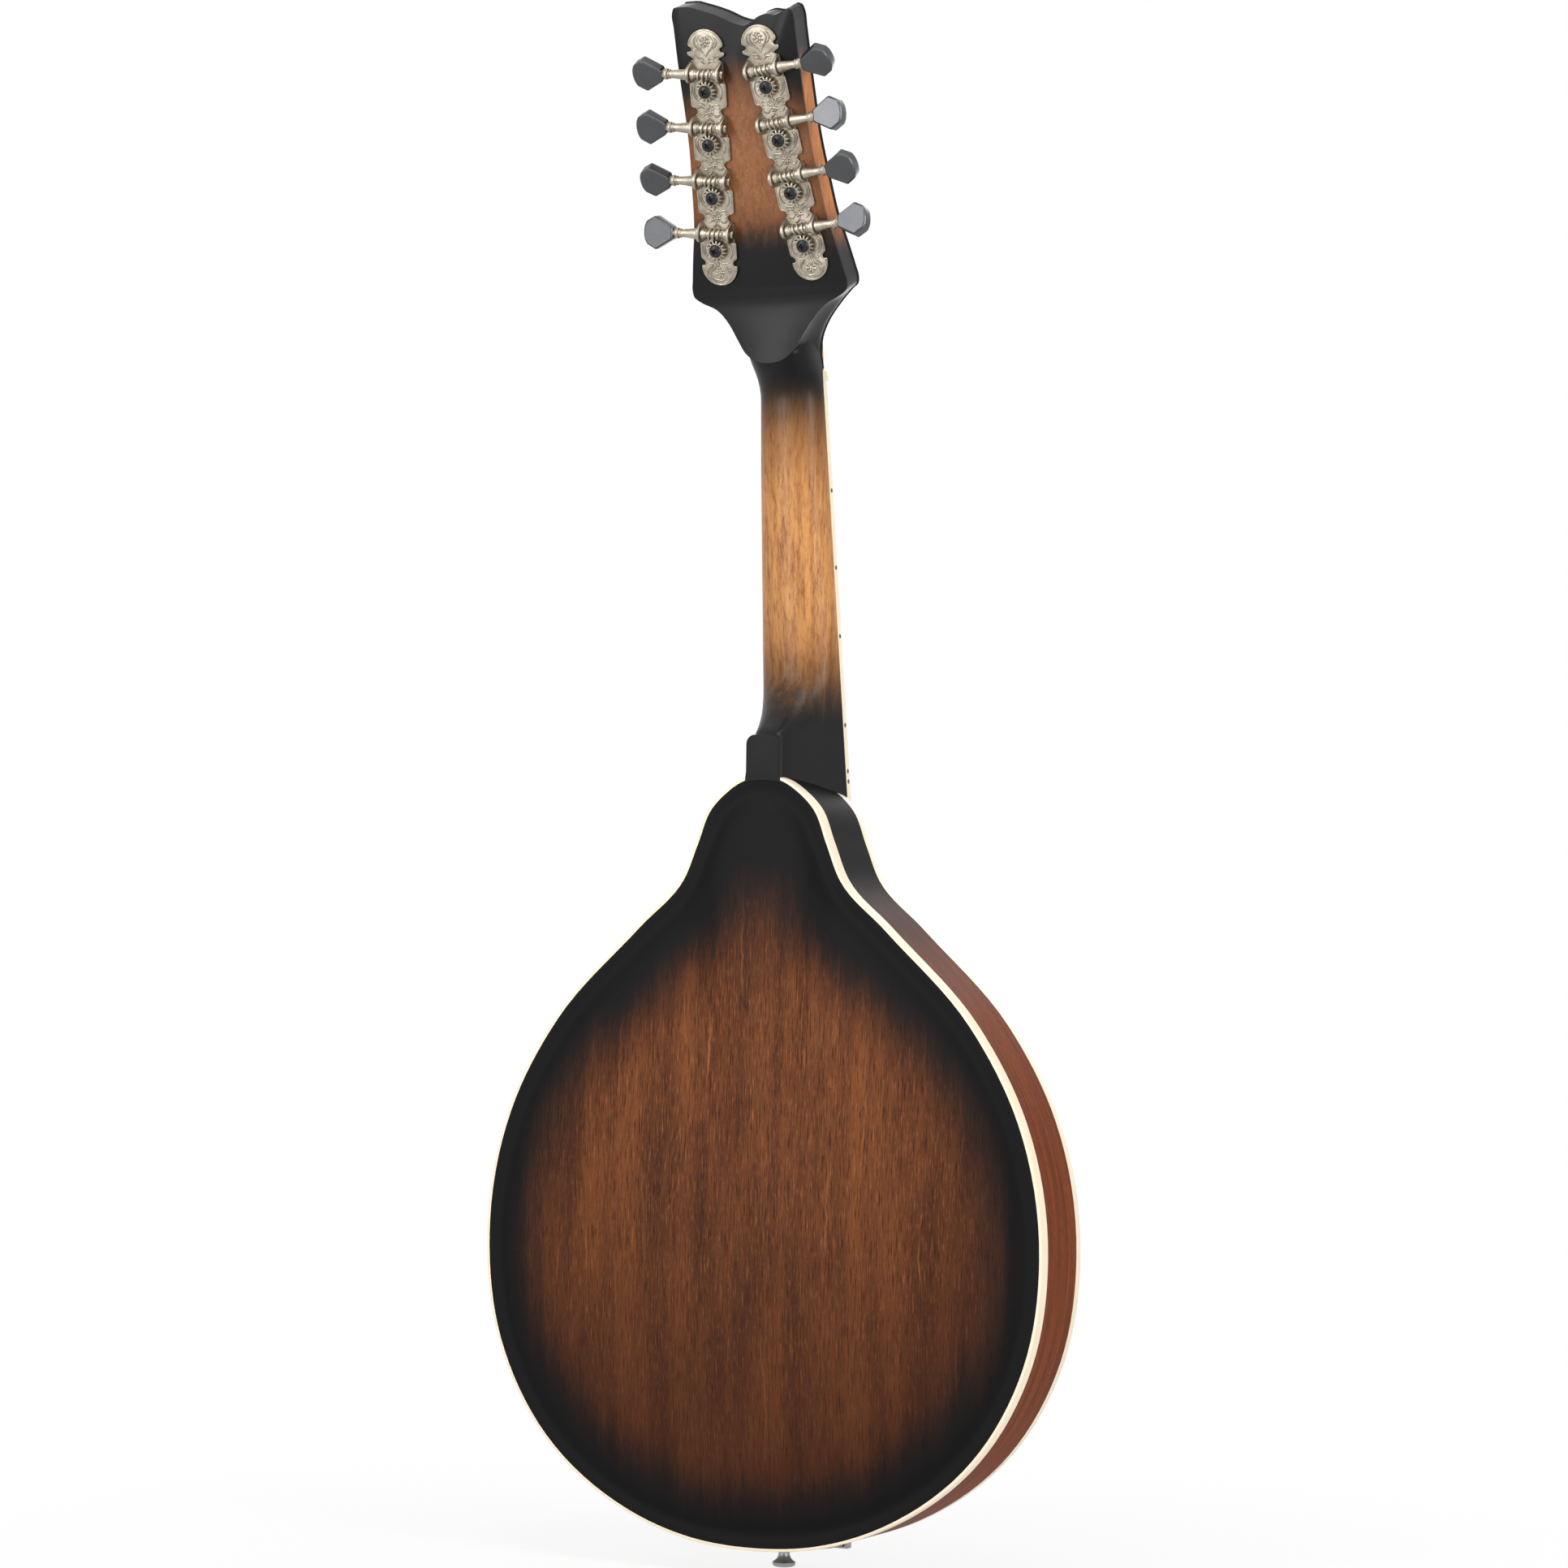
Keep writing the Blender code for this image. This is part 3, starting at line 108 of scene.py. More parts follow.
def length(name, description, value):
    """A length, given in millimetres and held in metres."""
    return FloatProperty(name=name, description=description, default=value * 0.001, unit="LENGTH",
                         precision=5)


def angle(name, description, value):
    """An angle, given in degrees."""
    return FloatProperty(name=name, description=description, default=math.radians(value),
                         subtype="ANGLE", unit="ROTATION")


def colour(name, description, *value):
    """A colour that a user may change."""
    return FloatVectorProperty(name=name, description=description, default=tone(*value), size=3,
                               subtype="COLOR", min=0.0, max=1.0)


class BodySizes(bpy.types.PropertyGroup):
    """Sizes of the body."""
    width: length("Width", "Over the bindings at the widest place", 259.4)
    depth: length("Depth", "From the front binding's edge to the back binding's edge", 43.0)
    back_arch: length("Back arch", "Rise of the carved back over its edge", 8.0)
    top_arch: length("Top arch", "Rise of the carved top over its edge", 11.0)
    groove: length("Groove", "Depth of the carved hollow inside the edge", 0.75)
    groove_in: length("Groove place", "Distance of the hollow from the edge", 7.5)
    plate: length("Plate", "Thickness of the carved plates", 3.0)
    rib: length("Rib", "Thickness of the sides", 2.5)
    binding: length("Binding", "Width of the binding's rear face", 1.25)
    back_binding: length("Back binding height", "Height of the back binding's outer face", 6.5)
    top_binding: length("Top binding height", "Height of the top binding's outer face", 5.0)
    hole_wide: length("Soundhole width", "Width of the oval soundhole", 56.0)
    hole_tall: length("Soundhole height", "Height of the oval soundhole", 40.0)


class NeckSizes(bpy.types.PropertyGroup):
    """Sizes of the neck, fingerboard and headstock."""
    scale: length("Scale", "Length of the open strings", 350.0)
    frets: IntProperty(name="Frets", description="Number of frets", default=20, min=12, max=24)
    neck_angle: angle("Neck angle", "Of the neck against the body", 6.25)
    head_tilt: angle("Headstock tilt", "Of the headstock against the neck", 15.2)
    board: length("Fingerboard", "Thickness of the fingerboard", 4.0)
    nut_half: length("Half width at the nut", "Half the neck's width at the nut", 14.2)
    joint_half: length("Half width at the joint", "Half the neck's width at the body", 19.0)
    deep_nut: length("Depth at the nut", "Neck and fingerboard together", 15.0)
    deep: length("Depth", "Neck and fingerboard together, past the volute", 17.2)
    head_thick: length("Headstock", "Thickness of the headstock's wood", 10.4)
    overlay: length("Overlay", "Thickness of the headstock's face veneer", 1.4)
    fret_wide: length("Fret width", "Width of a fret's crown", 2.0)
    fret_tall: length("Fret height", "Height of a fret's crown", 1.0)


class TunerSizes(bpy.types.PropertyGroup):
    """Sizes of the tuners."""
    pitch: length("Pitch", "Distance from post to post", 22.7)
    splay: angle("Splay", "Of each row against the middle line", 5.3)
    plate: length("Plate", "Thickness of the plates' metal", 1.0)
    worm_up: length("Worm offset", "From a gear's axis to its worm's", 7.2)
    worm: length("Worm radius", "Radius over the worm's thread", 2.55)
    core: length("Worm core", "Radius of the worm's core", 1.6)
    gear_tip: length("Gear radius", "Radius over the gear's teeth", 4.5)
    gear_root: length("Gear root", "Radius between the gear's teeth", 3.4)
    teeth: IntProperty(name="Teeth", description="Number of teeth on a gear", default=15, min=8, max=24)
    button_long: length("Button length", "Of a tuner button along its shaft", 13.6)
    button_thick: length("Button thickness", "Of a tuner button", 5.4)


class Colours(bpy.types.PropertyGroup):
    """Colours of the finishes."""
    burst: colour("Burst", "The black at the edges of the burst", 15, 14, 15)
    back_dark: colour("Back, dark grain", "Dark grain of the back", 64, 33, 20)
    back_mid: colour("Back", "Most of the back", 116, 66, 35)
    back_light: colour("Back, light grain", "Light grain of the back", 160, 97, 54)
    side: colour("Sides", "The stained sides", 124, 60, 26)
    neck: colour("Neck", "The golden part of the neck", 200, 143, 86)
    neck_dark: colour("Neck, dark grain", "Dark grain of the golden wood", 122, 70, 38)
    head: colour("Headstock", "The brown part of the headstock's back", 146, 96, 62)
    head_side: colour("Headstock's sides", "The orange wood of the headstock's sides", 212, 128, 62)
    binding: colour("Binding", "The cream binding", 236, 222, 196)
    nickel: colour("Nickel", "The tuners' aged nickel", 168, 159, 144)
    chrome: colour("Satin chrome", "Tuner buttons and tailpiece cover", 88, 89, 91)


class StageSizes(bpy.types.PropertyGroup):
    """Where the camera stands and how bright the lamps are."""
    aim: FloatVectorProperty(name="Aim", description="The point that the camera looks at",
                             default=(-0.0100553, 0.0093987, -0.2017345), subtype="TRANSLATION",
                             unit="LENGTH")
    turn: angle("Turn", "Of the camera round the mandolin, from straight behind", 25.44)
    rise: angle("Rise", "Of the camera over the horizon", -2.06)
    roll: angle("Roll", "Of the camera about its own line of sight", -0.753)
    distance: length("Distance", "From the aim to the camera", 1891.92)
    view_wide: length("View", "Width of what the camera sees at the aim", 661.34)
    room_light: FloatProperty(name="Room light", description="Strength of the light all round",
                              default=0.38, min=0.0)
    lamp_light: FloatProperty(name="Lamp light", description="Strength of the soft lamps", default=1.0,
                              min=0.0)


GROUPS = {"mandolin_body": BodySizes, "mandolin_neck": NeckSizes, "mandolin_tuners": TunerSizes,
          "mandolin_colours": Colours, "mandolin_stage": StageSizes}

# Outlines and fixed sizes, in millimetres

OUTLINE = [(0, 4.0), (9.2, 2.5), (18.2, -3.1), (24.8, -9.8), (31.3, -25), (37.7, -40), (58, -60),
           (97.4, -100), (119.7, -140), (129.7, -195), (123.1, -240), (100.4, -280),
           (60.5, -309.6), (30.0, -319.8), (0, -322.5)]
OUTLINE_STEPS = 8
ARCH_CENTRE = -195.0
HEAD_EDGE = [(33.3, 40.5), (35.7, 42.4), (36.3, 45.5), (35.6, 49.5), (33.4, 61.0), (31.1, 72.0), (29.3, 88.0),
             (27.6, 106.0), (26.8, 145.0), (26.3, 158.0), (26.1, 163.8), (24.9, 166.0), (22.0, 166.5),
             (14.0, 164.5), (5.0, 161.0), (-3.0, 157.0), (-6.2, 156.3), (-9.4, 157.4),
             (-13.3, 159.6), (-16.2, 160.3), (-20.9, 159.6), (-28.3, 161.3), (-29.2, 158.5), (-29.1, 153.0),
             (-28.5, 124.0), (-28.6, 106.0), (-29.9, 88.0), (-31.4, 72.0), (-33.6, 61.0), (-35.7, 49.5),
             (-36.3, 45.5), (-35.7, 42.4), (-33.3, 40.5)]
HEAD_TIP = 166.1
HEAD_FLARE = [(0.0, 5.2), (13.4, 5.2), (13.9, 12.2), (15.8, 19.8), (19.4, 26.2), (25.8, 33.6)]
TONGUE = [(0.0, 14.9), (6.5, 16.0), (11.0, 19.0), (14.7, 24.0), (19.5, 31.0), (25.5, 37.2)]
TONGUE_SWEEP = [(47.0 - k, 0.0155 * k * k) for k in range(17)] + [(26.0, 6.4), (20.0, 9.2), (10.0, 13.9)]
FLARE_THICK = 1.6
TAPER_STEP = 1.9
VOLUTE = 12.5
TOP_POST = (14.2, 130.6)
SIDES = ((-1, "bass"), (1, "treble"))
TUNERS = [(side, index, f"{row}_{index + 1}") for side, row in SIDES for index in range(4)]
BUTTON_TURNS = [24, -18, 12, -30, 18, 10, 22, -8]
STRING_RADII = [0.50, 0.50, 0.33, 0.33, 0.19, 0.19, 0.14, 0.14]
PAIR_CENTRES = [-10.0, -3.4, 3.4, 10.0]
PAIR_SPLIT = 1.1
TAIL_SPREAD = 1.35
DOT_FRETS = (3, 5, 7, 10, 12, 15)
GAP = 0.3
NECK_END = 4.0
TAIL_END = -322.5
HEEL_START = 50.0
HEEL_FULL = 21.0
CAP_HALF = 7.9
NUT_LONG = 4.4
NUT_TALL = 1.7
BOARD_INNER = 1.5
GROOVE_WIDE = 3.6
POST_MIDDLE = 4.75
EAR_PLACES = (6.2, -7.55)
EAR_ROUND = 3.75
EAR_THICK = 1.35
GEAR_THICK = 3.0
BUTTON_START = 18.8
BASE_HALF = 56.0
BASE_DEEP = 5.0
STUD_AWAY = 24.0
SADDLE_HALF = 35.0
SADDLE_DEEP = 3.0
SADDLE_TALL = 6.5
WHEEL_THICK = 2.0
PEG_FORWARD = 11.7
ACROSS = Vector((1, 0, 0))


def in_millimetres(group):
    """A property group's values, with its lengths in millimetres."""
    values = {}
    for name in group.__annotations__:
        value = getattr(group, name)
        rule = group.bl_rna.properties[name]
        if rule.type == "FLOAT" and rule.unit == "LENGTH" and not getattr(rule, "is_array", False):
            value *= 1000
        values[name] = value
    return SimpleNamespace(**values)


def through(points, steps, closed=False):
    """A smooth line through points of any spacing, without overshoot."""
    points = [Vector(point) for point in points]
    count = len(points)
    tangents = []
    for k, point in enumerate(points):
        before = point - points[k - 1]
        after = points[(k + 1) % count] - point
        if not closed and k == 0:
            before = after
        if not closed and k == count - 1:
            after = before
        mixed = before.normalized() * after.length + after.normalized() * before.length
        tangents.append(mixed.normalized())
    line = []
    for k in range(count if closed else count - 1):
        a, b = points[k], points[(k + 1) % count]
        reach = (b - a).length
        out, back = tangents[k] * reach, tangents[(k + 1) % count] * reach
        for step in range(steps):
            t = step / steps
            line.append(a * (2 * t ** 3 - 3 * t ** 2 + 1) + out * (t ** 3 - 2 * t ** 2 + t)
                        + b * (3 * t ** 2 - 2 * t ** 3) + back * (t ** 3 - t ** 2))
    if not closed:
        line.append(points[-1])
    return line


def inset(outline, distance):
    """A closed outline moved inwards along its normals."""
    moved = []
    for k, point in enumerate(outline):
        before, after = Vector(outline[k - 1]), Vector(outline[(k + 1) % len(outline)])
        run = (after - before).normalized()
        moved.append((point[0] + run.y * distance, point[1] - run.x * distance))
    return moved


def mirrored(half):
    """A half outline, from one point of the middle line to the other, with its other half."""
    return half + [(-x, v) for x, v in reversed(half) if abs(x) > 1e-6]


def flat(outline, level):
    """A flat outline's points at one height."""
    return [Vector((u, v, level)) for u, v in outline]


def upright(outline, y):
    """An outline of (x, z) points, stood at one depth."""
    return [Vector((x, y, z)) for x, z in outline]


def ways_round(count, start=0.0):
    """Angles evenly round a circle."""
    return [2 * math.pi * (k + start) / count for k in range(count)]


def soft_step(value):
    """A smooth rise from 0 to 1."""
    value = min(1.0, max(0.0, value))
    return value * value * (3 - 2 * value)


def arc(centre, radius, start, stop, count):
    """Points on an arc, with its angles in degrees."""
    points = []
    for k in range(count + 1):
        turn = math.radians(start + (stop - start) * k / count)
        points.append((centre[0] + radius * math.cos(turn), centre[1] + radius * math.sin(turn)))
    return points


def axes(x, y, z, origin):
    """The matrix of a frame with these axes."""
    matrix = Matrix((x, y, z)).transposed().to_4x4()
    matrix.translation = origin
    return matrix


class Layout:
    """Where things are, worked out from the sizes, in millimetres in the body's frame."""

    def __init__(self, scene):
        self.body = in_millimetres(scene.mandolin_body)
        self.neck = in_millimetres(scene.mandolin_neck)
        self.tuner = in_millimetres(scene.mandolin_tuners)
        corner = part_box("top_binding")[1]
        corner.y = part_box("back_binding")[1].y
        self.world = Matrix.Translation((0, corner.y, corner.z - NECK_END * 0.001)) @ Matrix.Scale(0.001, 4)
        neck = self.neck
        lean = neck.neck_angle + neck.head_tilt
        self.front = -self.body.depth
        self.down = Vector((0, -math.sin(neck.neck_angle), -math.cos(neck.neck_angle)))
        self.behind = Vector((0, math.cos(neck.neck_angle), -math.sin(neck.neck_angle)))
        self.head_up = Vector((0, math.sin(lean), math.cos(lean)))
        self.head_back = Vector((0, math.cos(lean), -math.sin(lean)))
        self.lean = lean
        self.nut = Vector((0, self.front - 1.0 - neck.board, 0)) - self.down * (neck.scale / 2)
        self.seat = neck.board + GAP
        self.head_face = (self.seat * math.cos(neck.head_tilt)
                          - (NUT_LONG + 2 * GAP) * math.sin(neck.head_tilt))
        self.head_rear = self.head_face + neck.head_thick
        self.overlay_face = self.head_face - GAP - neck.overlay
        self.plate_top = self.head_rear + GAP + self.tuner.plate
        self.gear_low = self.plate_top + GAP
        self.gear_top = self.gear_low + GEAR_THICK
        self.worm_level = self.plate_top + 2.5
        self.board_long = self.fret(neck.frets) + 5.0
        self.bridge = self.nut + self.down * (neck.scale + 2.0) - self.behind * 3.3
        end = self.nut + self.down * self.board_long
        self.hole_z = end.z - 6.0 - self.body.hole_tall / 2
        line = [tuple(point) for point in through(mirrored(OUTLINE), OUTLINE_STEPS, closed=True)]
        widest = max(x for x, z in line)
        self.outline = [(x * self.body.width / 2 / widest, z) for x, z in line]
        self.plate_edge = inset(self.outline, self.body.binding - 0.05)

    def fret(self, number):
        """Distance of a fret from the nut."""
        return self.neck.scale * (1 - 2 ** (-number / 12))

    def board_half(self, along):
        """Half width of the fingerboard at a distance from the nut."""
        neck = self.neck
        return neck.nut_half + (neck.joint_half - neck.nut_half) * along / (neck.scale / 2)

    def rear_at(self, above):
        """y of the headstock's back face at a height over the nut."""
        levels = [up for up, back in reversed(TONGUE_SWEEP)]
        backs = [back for up, back in reversed(TONGUE_SWEEP)]
        up = above
        for _ in range(8):
            level = self.head_rear + float(np.interp(up, levels, backs))
            up = (above + level * math.sin(self.lean)) / math.cos(self.lean)
        return self.nut.y + up * math.sin(self.lean) + level * math.cos(self.lean)

    def neck_frame(self):
        """Across the neck, down from the nut and behind the fingerboard's face."""
        return self.world @ axes(ACROSS, self.down, self.behind, self.nut)

    def head_frame(self):
        """Across the headstock, up from the nut and behind the nut's front line."""
        return self.world @ axes(ACROSS, self.head_up, self.head_back, self.nut)

    def tuner_frame(self, side, index=0):
        """Outwards along a tuner's shaft, towards the tip and backwards, from a post's axis."""
        splay = self.tuner.splay
        run = index * self.tuner.pitch
        across = side * (TOP_POST[0] + run * math.sin(splay))
        up = TOP_POST[1] - run * math.cos(splay)
        base = self.nut + Vector((across, 0, 0)) + self.head_up * up
        outward = Vector((side * math.cos(splay), 0, 0)) + self.head_up * math.sin(splay)
        along = Vector((-side * math.sin(splay), 0, 0)) + self.head_up * math.cos(splay)
        return self.world @ axes(outward, along, self.head_back, base)

    def edge_of(self, points):
        """Distance of points (x, z) from the body's outline, and their place along it."""
        line = np.array(self.outline)
        after = np.roll(line, -1, axis=0)
        run = after - line
        square = (run ** 2).sum(1)
        starts = np.concatenate([[0], np.cumsum(np.sqrt(square))[:-1]])
        away = points[:, None, :] - line[None]
        share = np.clip((away * run[None]).sum(2) / square[None], 0, 1)
        gaps = np.linalg.norm(away - run[None] * share[..., None], axis=2)
        nearest = gaps.argmin(1)
        rows = np.arange(len(points))
        return gaps[rows, nearest], starts[nearest] + share[rows, nearest] * np.sqrt(square[nearest])

    def reach(self, turn):
        """Distance from the arch's centre to the plates' edge in a direction."""
        towards = Vector((math.sin(turn), math.cos(turn)))
        best = 1.0
        for k, point in enumerate(self.plate_edge):
            a = Vector((self.plate_edge[k - 1][0], self.plate_edge[k - 1][1] - ARCH_CENTRE))
            run = Vector((point[0], point[1] - ARCH_CENTRE)) - a
            cross = towards.x * run.y - towards.y * run.x
            if abs(cross) > 1e-9:
                far = (a.x * run.y - a.y * run.x) / cross
                share = (a.x * towards.y - a.y * towards.x) / cross
                if far > best and -1e-6 <= share <= 1 + 1e-6:
                    best = far
        return best

    def oval(self, away):
        """The soundhole's outline, or one so far outside it."""
        wide, tall = self.body.hole_wide / 2 + away, self.body.hole_tall / 2 + away
        return [(wide * math.cos(way), self.hole_z + tall * math.sin(way)) for way in ways_round(96)]

    def top_level(self, x, z):
        """y of the top's outer face."""
        turn = math.atan2(x, z - ARCH_CENTRE)
        ring = min(1.0, math.hypot(x, z - ARCH_CENTRE) / self.reach(turn))
        return self.front - self.body.top_arch * arch_share(ring)


def arch_share(ring):
    """Height of a plate at a ring, 0 at the edge and 1 in the middle."""
    return max(0.0, 1 - ring ** 2) ** 1.25


# Modelling, as by hand

def fresh():
    """Leaves edit mode and deselects everything."""
    if bpy.context.object and bpy.context.object.mode == "EDIT":
        bpy.ops.object.mode_set(mode="OBJECT")
    bpy.ops.object.select_all(action="DESELECT")


def choose(*pieces):
    """Selects pieces, the first of them active."""
    fresh()
    for piece in pieces:
        piece.select_set(True)
    bpy.context.view_layer.objects.active = pieces[0]


def edit(piece):
    """Opens a piece in edit mode with all of it selected."""
    choose(piece)
    bpy.ops.object.mode_set(mode="EDIT")
    bpy.ops.mesh.select_mode(type="VERT")
    bpy.ops.mesh.select_all(action="SELECT")


def tidy(piece, merge=0.002):
    """Merges doubles and turns the faces outwards."""
    edit(piece)
    bpy.ops.mesh.remove_doubles(threshold=merge)
    bpy.ops.mesh.normals_make_consistent(inside=False)
    fresh()
    return piece


def place_row(piece, row, points):
    """Puts a row of vertices on its points."""
    mesh = bmesh.from_edit_mesh(piece.data)
    mesh.verts.ensure_lookup_table()
    for index, point in zip(row, points):
        mesh.verts[index].co = point


def next_row(piece, row):
    """The vertices that an extrusion has just made from a row, in the same order."""
    mesh = bmesh.from_edit_mesh(piece.data)
    mesh.verts.ensure_lookup_table()
    mesh.verts.index_update()
    known = len(mesh.verts) - len(row)
    made = []
    for index in row:
        vert = mesh.verts[index]
        others = [edge.other_vert(vert).index for edge in vert.link_edges]
        made.append(next(other for other in others if other >= known))
    return made


def fill_row(piece, row):
    """Closes a row of vertices with one face."""
    bpy.ops.mesh.select_all(action="DESELECT")
    mesh = bmesh.from_edit_mesh(piece.data)
    mesh.verts.ensure_lookup_table()
    for index in row:
        mesh.verts[index].select = True
    mesh.select_flush(True)
    bpy.ops.mesh.edge_face_add()


def loft(name, rings, ends=True):
    """Extrudes a circle's edges through a row of rings that have as many points each."""
    fresh()
    bpy.ops.mesh.primitive_circle_add(vertices=len(rings[0]), radius=1.0, fill_type="NOTHING")
    piece = bpy.context.object
    piece.name = name
    edit(piece)
    first = list(range(len(rings[0])))
    row = first
    place_row(piece, row, rings[0])
    for ring in rings[1:]:
        bpy.ops.mesh.extrude_edges_move()
        row = next_row(piece, row)
        place_row(piece, row, ring)
    if ends:
        fill_row(piece, first)
        fill_row(piece, row)
    return tidy(piece)


def slab(name, outline, low, high):
    """Extrudes a flat outline between two heights."""
    return loft(name, [flat(outline, level) for level in (low, high)])


def bar(name, profile, left, right):
    """Extrudes a profile of (y, z) points from one x to another."""
    return loft(name, [[Vector((x, y, z)) for y, z in profile] for x in (left, right)])


def turn(name, profile, count=32):
    """Grows a round piece along Z from (height, radius) points, by extruding and resizing its end."""
    fresh()
    low, radius = profile[0]
    bpy.ops.mesh.primitive_circle_add(vertices=count, radius=radius, fill_type="NGON", location=(0, 0, low))
    piece = bpy.context.object
    piece.name = name
    edit(piece)
    for height, wide in profile[1:]:
        bpy.ops.mesh.extrude_region_move(TRANSFORM_OT_translate={"value": (0, 0, height - low)})
        share = wide / radius
        bpy.ops.transform.resize(value=(share, share, 1), center_override=(0, 0, height))
        low, radius = height, wide
    fresh()
    seat(piece, Matrix.Identity(4))
    return tidy(piece)


def seat(piece, matrix):
    """Puts a piece in its place, in its mesh."""
    whole = matrix @ piece.matrix_world
    piece.data.transform(whole)
    piece.matrix_world = Matrix.Identity(4)
    if whole.determinant() < 0:
        piece.data.flip_normals()
    piece.data.update()
    return piece


def modify(piece, kind, **settings):
    """Adds a modifier and applies it."""
    step = piece.modifiers.new(kind.title(), kind)
    for name, value in settings.items():
        setattr(step, name, value)
    choose(piece)
    bpy.ops.object.modifier_apply(modifier=step.name)
    return piece


def bevel(piece, width, segments=3, over=30):
    """Rounds the edges that are sharper than an angle in degrees."""
    return modify(piece, "BEVEL", width=width, segments=segments, limit_method="ANGLE",
                  angle_limit=math.radians(over), use_clamp_overlap=True)


def combine(piece, other, operation):
    """Joins or cuts with a second shape, which goes."""
    modify(piece, "BOOLEAN", operation=operation, object=other, solver="EXACT")
    bpy.data.objects.remove(other)
    return piece


def copied(piece, name, matrix):
    """A copy with its own mesh, moved by a matrix."""
    twin = piece.copy()
    twin.data = piece.data.copy()
    twin.name = name
    bpy.context.scene.collection.objects.link(twin)
    return seat(twin, matrix)


def joined(name, pieces):
    """Several shapes as one piece."""
    if len(pieces) > 1:
        choose(*pieces)
        bpy.ops.object.join()
    pieces[0].name = name
    return pieces[0]


def discard(*pieces):
    """Removes shapes that were only copied."""
    for piece in pieces:
        bpy.data.objects.remove(piece)


def tube(name, path, radius, count=8):
    """A round rod along a path; the radius is one number or one for each point."""
    path = [Vector(point) for point in path]
    radii = radius if isinstance(radius, list) else [radius] * len(path)
    side = None
    rings = []
    for k, point in enumerate(path):
        run = (path[min(k + 1, len(path) - 1)] - path[max(k - 1, 0)]).normalized()
        if side is None:
            side = run.orthogonal().normalized()
        side = (side - run * side.dot(run)).normalized()
        up = run.cross(side)
        rings.append([point + (side * math.cos(way) + up * math.sin(way)) * radii[k]
                      for way in ways_round(count)])
    return loft(name, rings)


def settle(piece, finish, slot, *nodes, body="instrument", place=None, crease=None):
    """Seats and smooths a piece, gives it its finish and body, and says which nodes it stands for."""
    if place is not None:
        seat(piece, place)
    piece.data.name = piece.name
    piece.data.materials.clear()
    piece.data.materials.append(FINISHES.get(finish))
    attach(piece, body)
    if nodes:
        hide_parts(*nodes)
    if crease is not None:
        choose(piece)
        bpy.ops.object.shade_smooth_by_angle(angle=math.radians(crease))
    return piece


# Shader sums

class Value:
    """A socket in a shader that can be written into sums."""

    def __init__(self, paint, socket):
        self.paint = paint
        self.socket = socket

    def __add__(self, other):
        return self.paint.sum("ADD", self, other)

    def __sub__(self, other):
        return self.paint.sum("SUBTRACT", self, other)

    def __rsub__(self, other):
        return self.paint.sum("SUBTRACT", other, self)

    def __mul__(self, other):
        return self.paint.sum("MULTIPLY", self, other)

    def __pow__(self, other):
        return self.paint.sum("POWER", self, other)

    __radd__ = __add__
    __rmul__ = __mul__

    def step(self, low, high):
        """A smooth rise from 0 at low to 1 at high."""
        return self.paint.node("ShaderNodeMapRange", {"interpolation_type": "SMOOTHSTEP"}, self, low, high)

    def least(self, other):
        """The smaller of two."""
        return self.paint.sum("MINIMUM", self, other)

    def size(self):
        """The value without its sign."""
        return self.paint.sum("ABSOLUTE", self)

    def rest(self):
        """What is left over the whole number below."""
        return self.paint.sum("FRACT", self)

    def wave(self):
        """The value's sine, from 0 to 1."""
        return self.paint.sum("SINE", self) * 0.5 + 0.5


class Paint:
    """The shader of a material or a world, under construction."""

    def __init__(self, owner):
        owner.use_nodes = True
        self.owner = owner
        self.nodes = owner.node_tree.nodes
        self.links = owner.node_tree.links

    def node(self, kind, settings, *values, out=0, **named):
        """Adds a node: its settings first, then its sockets by place or by name."""
        made = self.nodes.new(kind)
        for name, value in settings.items():
            setattr(made, name, value)
        for place, value in [*enumerate(values), *named.items()]:
            self.feed(made.inputs[place], value)
        return Value(self, made.outputs[out])

    def feed(self, socket, value):
        """Links or sets a socket; a colour may have three numbers."""
        if isinstance(value, Value):
            self.links.new(value.socket, socket)
        elif isinstance(value, tuple) and len(value) == 3:
            socket.default_value = (*value, 1.0)
        else:
            socket.default_value = value

    def sum(self, operation, *values):
        """A Math node."""
        return self.node("ShaderNodeMath", {"operation": operation}, *values)

    def place(self):
        """Object coordinates in millimetres, one value for each direction."""
        spot = self.node("ShaderNodeTexCoord", {}, out=3)
        spot = self.node("ShaderNodeVectorMath", {"operation": "SCALE"}, spot, Scale=1000.0)
        return tuple(self.node("ShaderNodeSeparateXYZ", {}, spot, out=k) for k in range(3))

    def attribute(self, name):
        """A number stored on the mesh."""
        return self.node("ShaderNodeAttribute", {"attribute_name": name}, out=2)

    def seen(self):
        """1 for the rays that show a thing itself, 0 for those that only bring its light."""
        path = self.node("ShaderNodeLightPath", {}).socket.node
        camera, glossy, through_glass = (Value(self, path.outputs[f"Is {kind} Ray"])
                                         for kind in ("Camera", "Glossy", "Transmission"))
        return (camera + glossy + through_glass).least(1.0)

    def noise(self, x, y, z, scale=1.0, detail=2.0, roughness=0.5):
        """Smooth noise about 0.5."""
        spot = self.node("ShaderNodeCombineXYZ", {}, x, y, z)
        return self.node("ShaderNodeTexNoise", {}, spot, Scale=scale, Detail=detail, Roughness=roughness)

    def mix(self, share, first, second):
        """A colour between two."""
        made = self.nodes.new("ShaderNodeMix")
        made.data_type = "RGBA"
        for place, value in ((0, share), (6, first), (7, second)):
            self.feed(made.inputs[place], value)
        return Value(self, made.outputs[2])

    def bump(self, height, distance, strength):
        """A normal from a height; the distance is in metres."""
        return self.node("ShaderNodeBump", {}, strength, distance, Height=height)

    def finish(self, sockets):
        """Sets the surface shader's sockets and gives the material back."""
        for name, value in sockets.items():
            self.feed(self.nodes["Principled BSDF"].inputs[name.replace("_", " ")], value)
        return self.owner


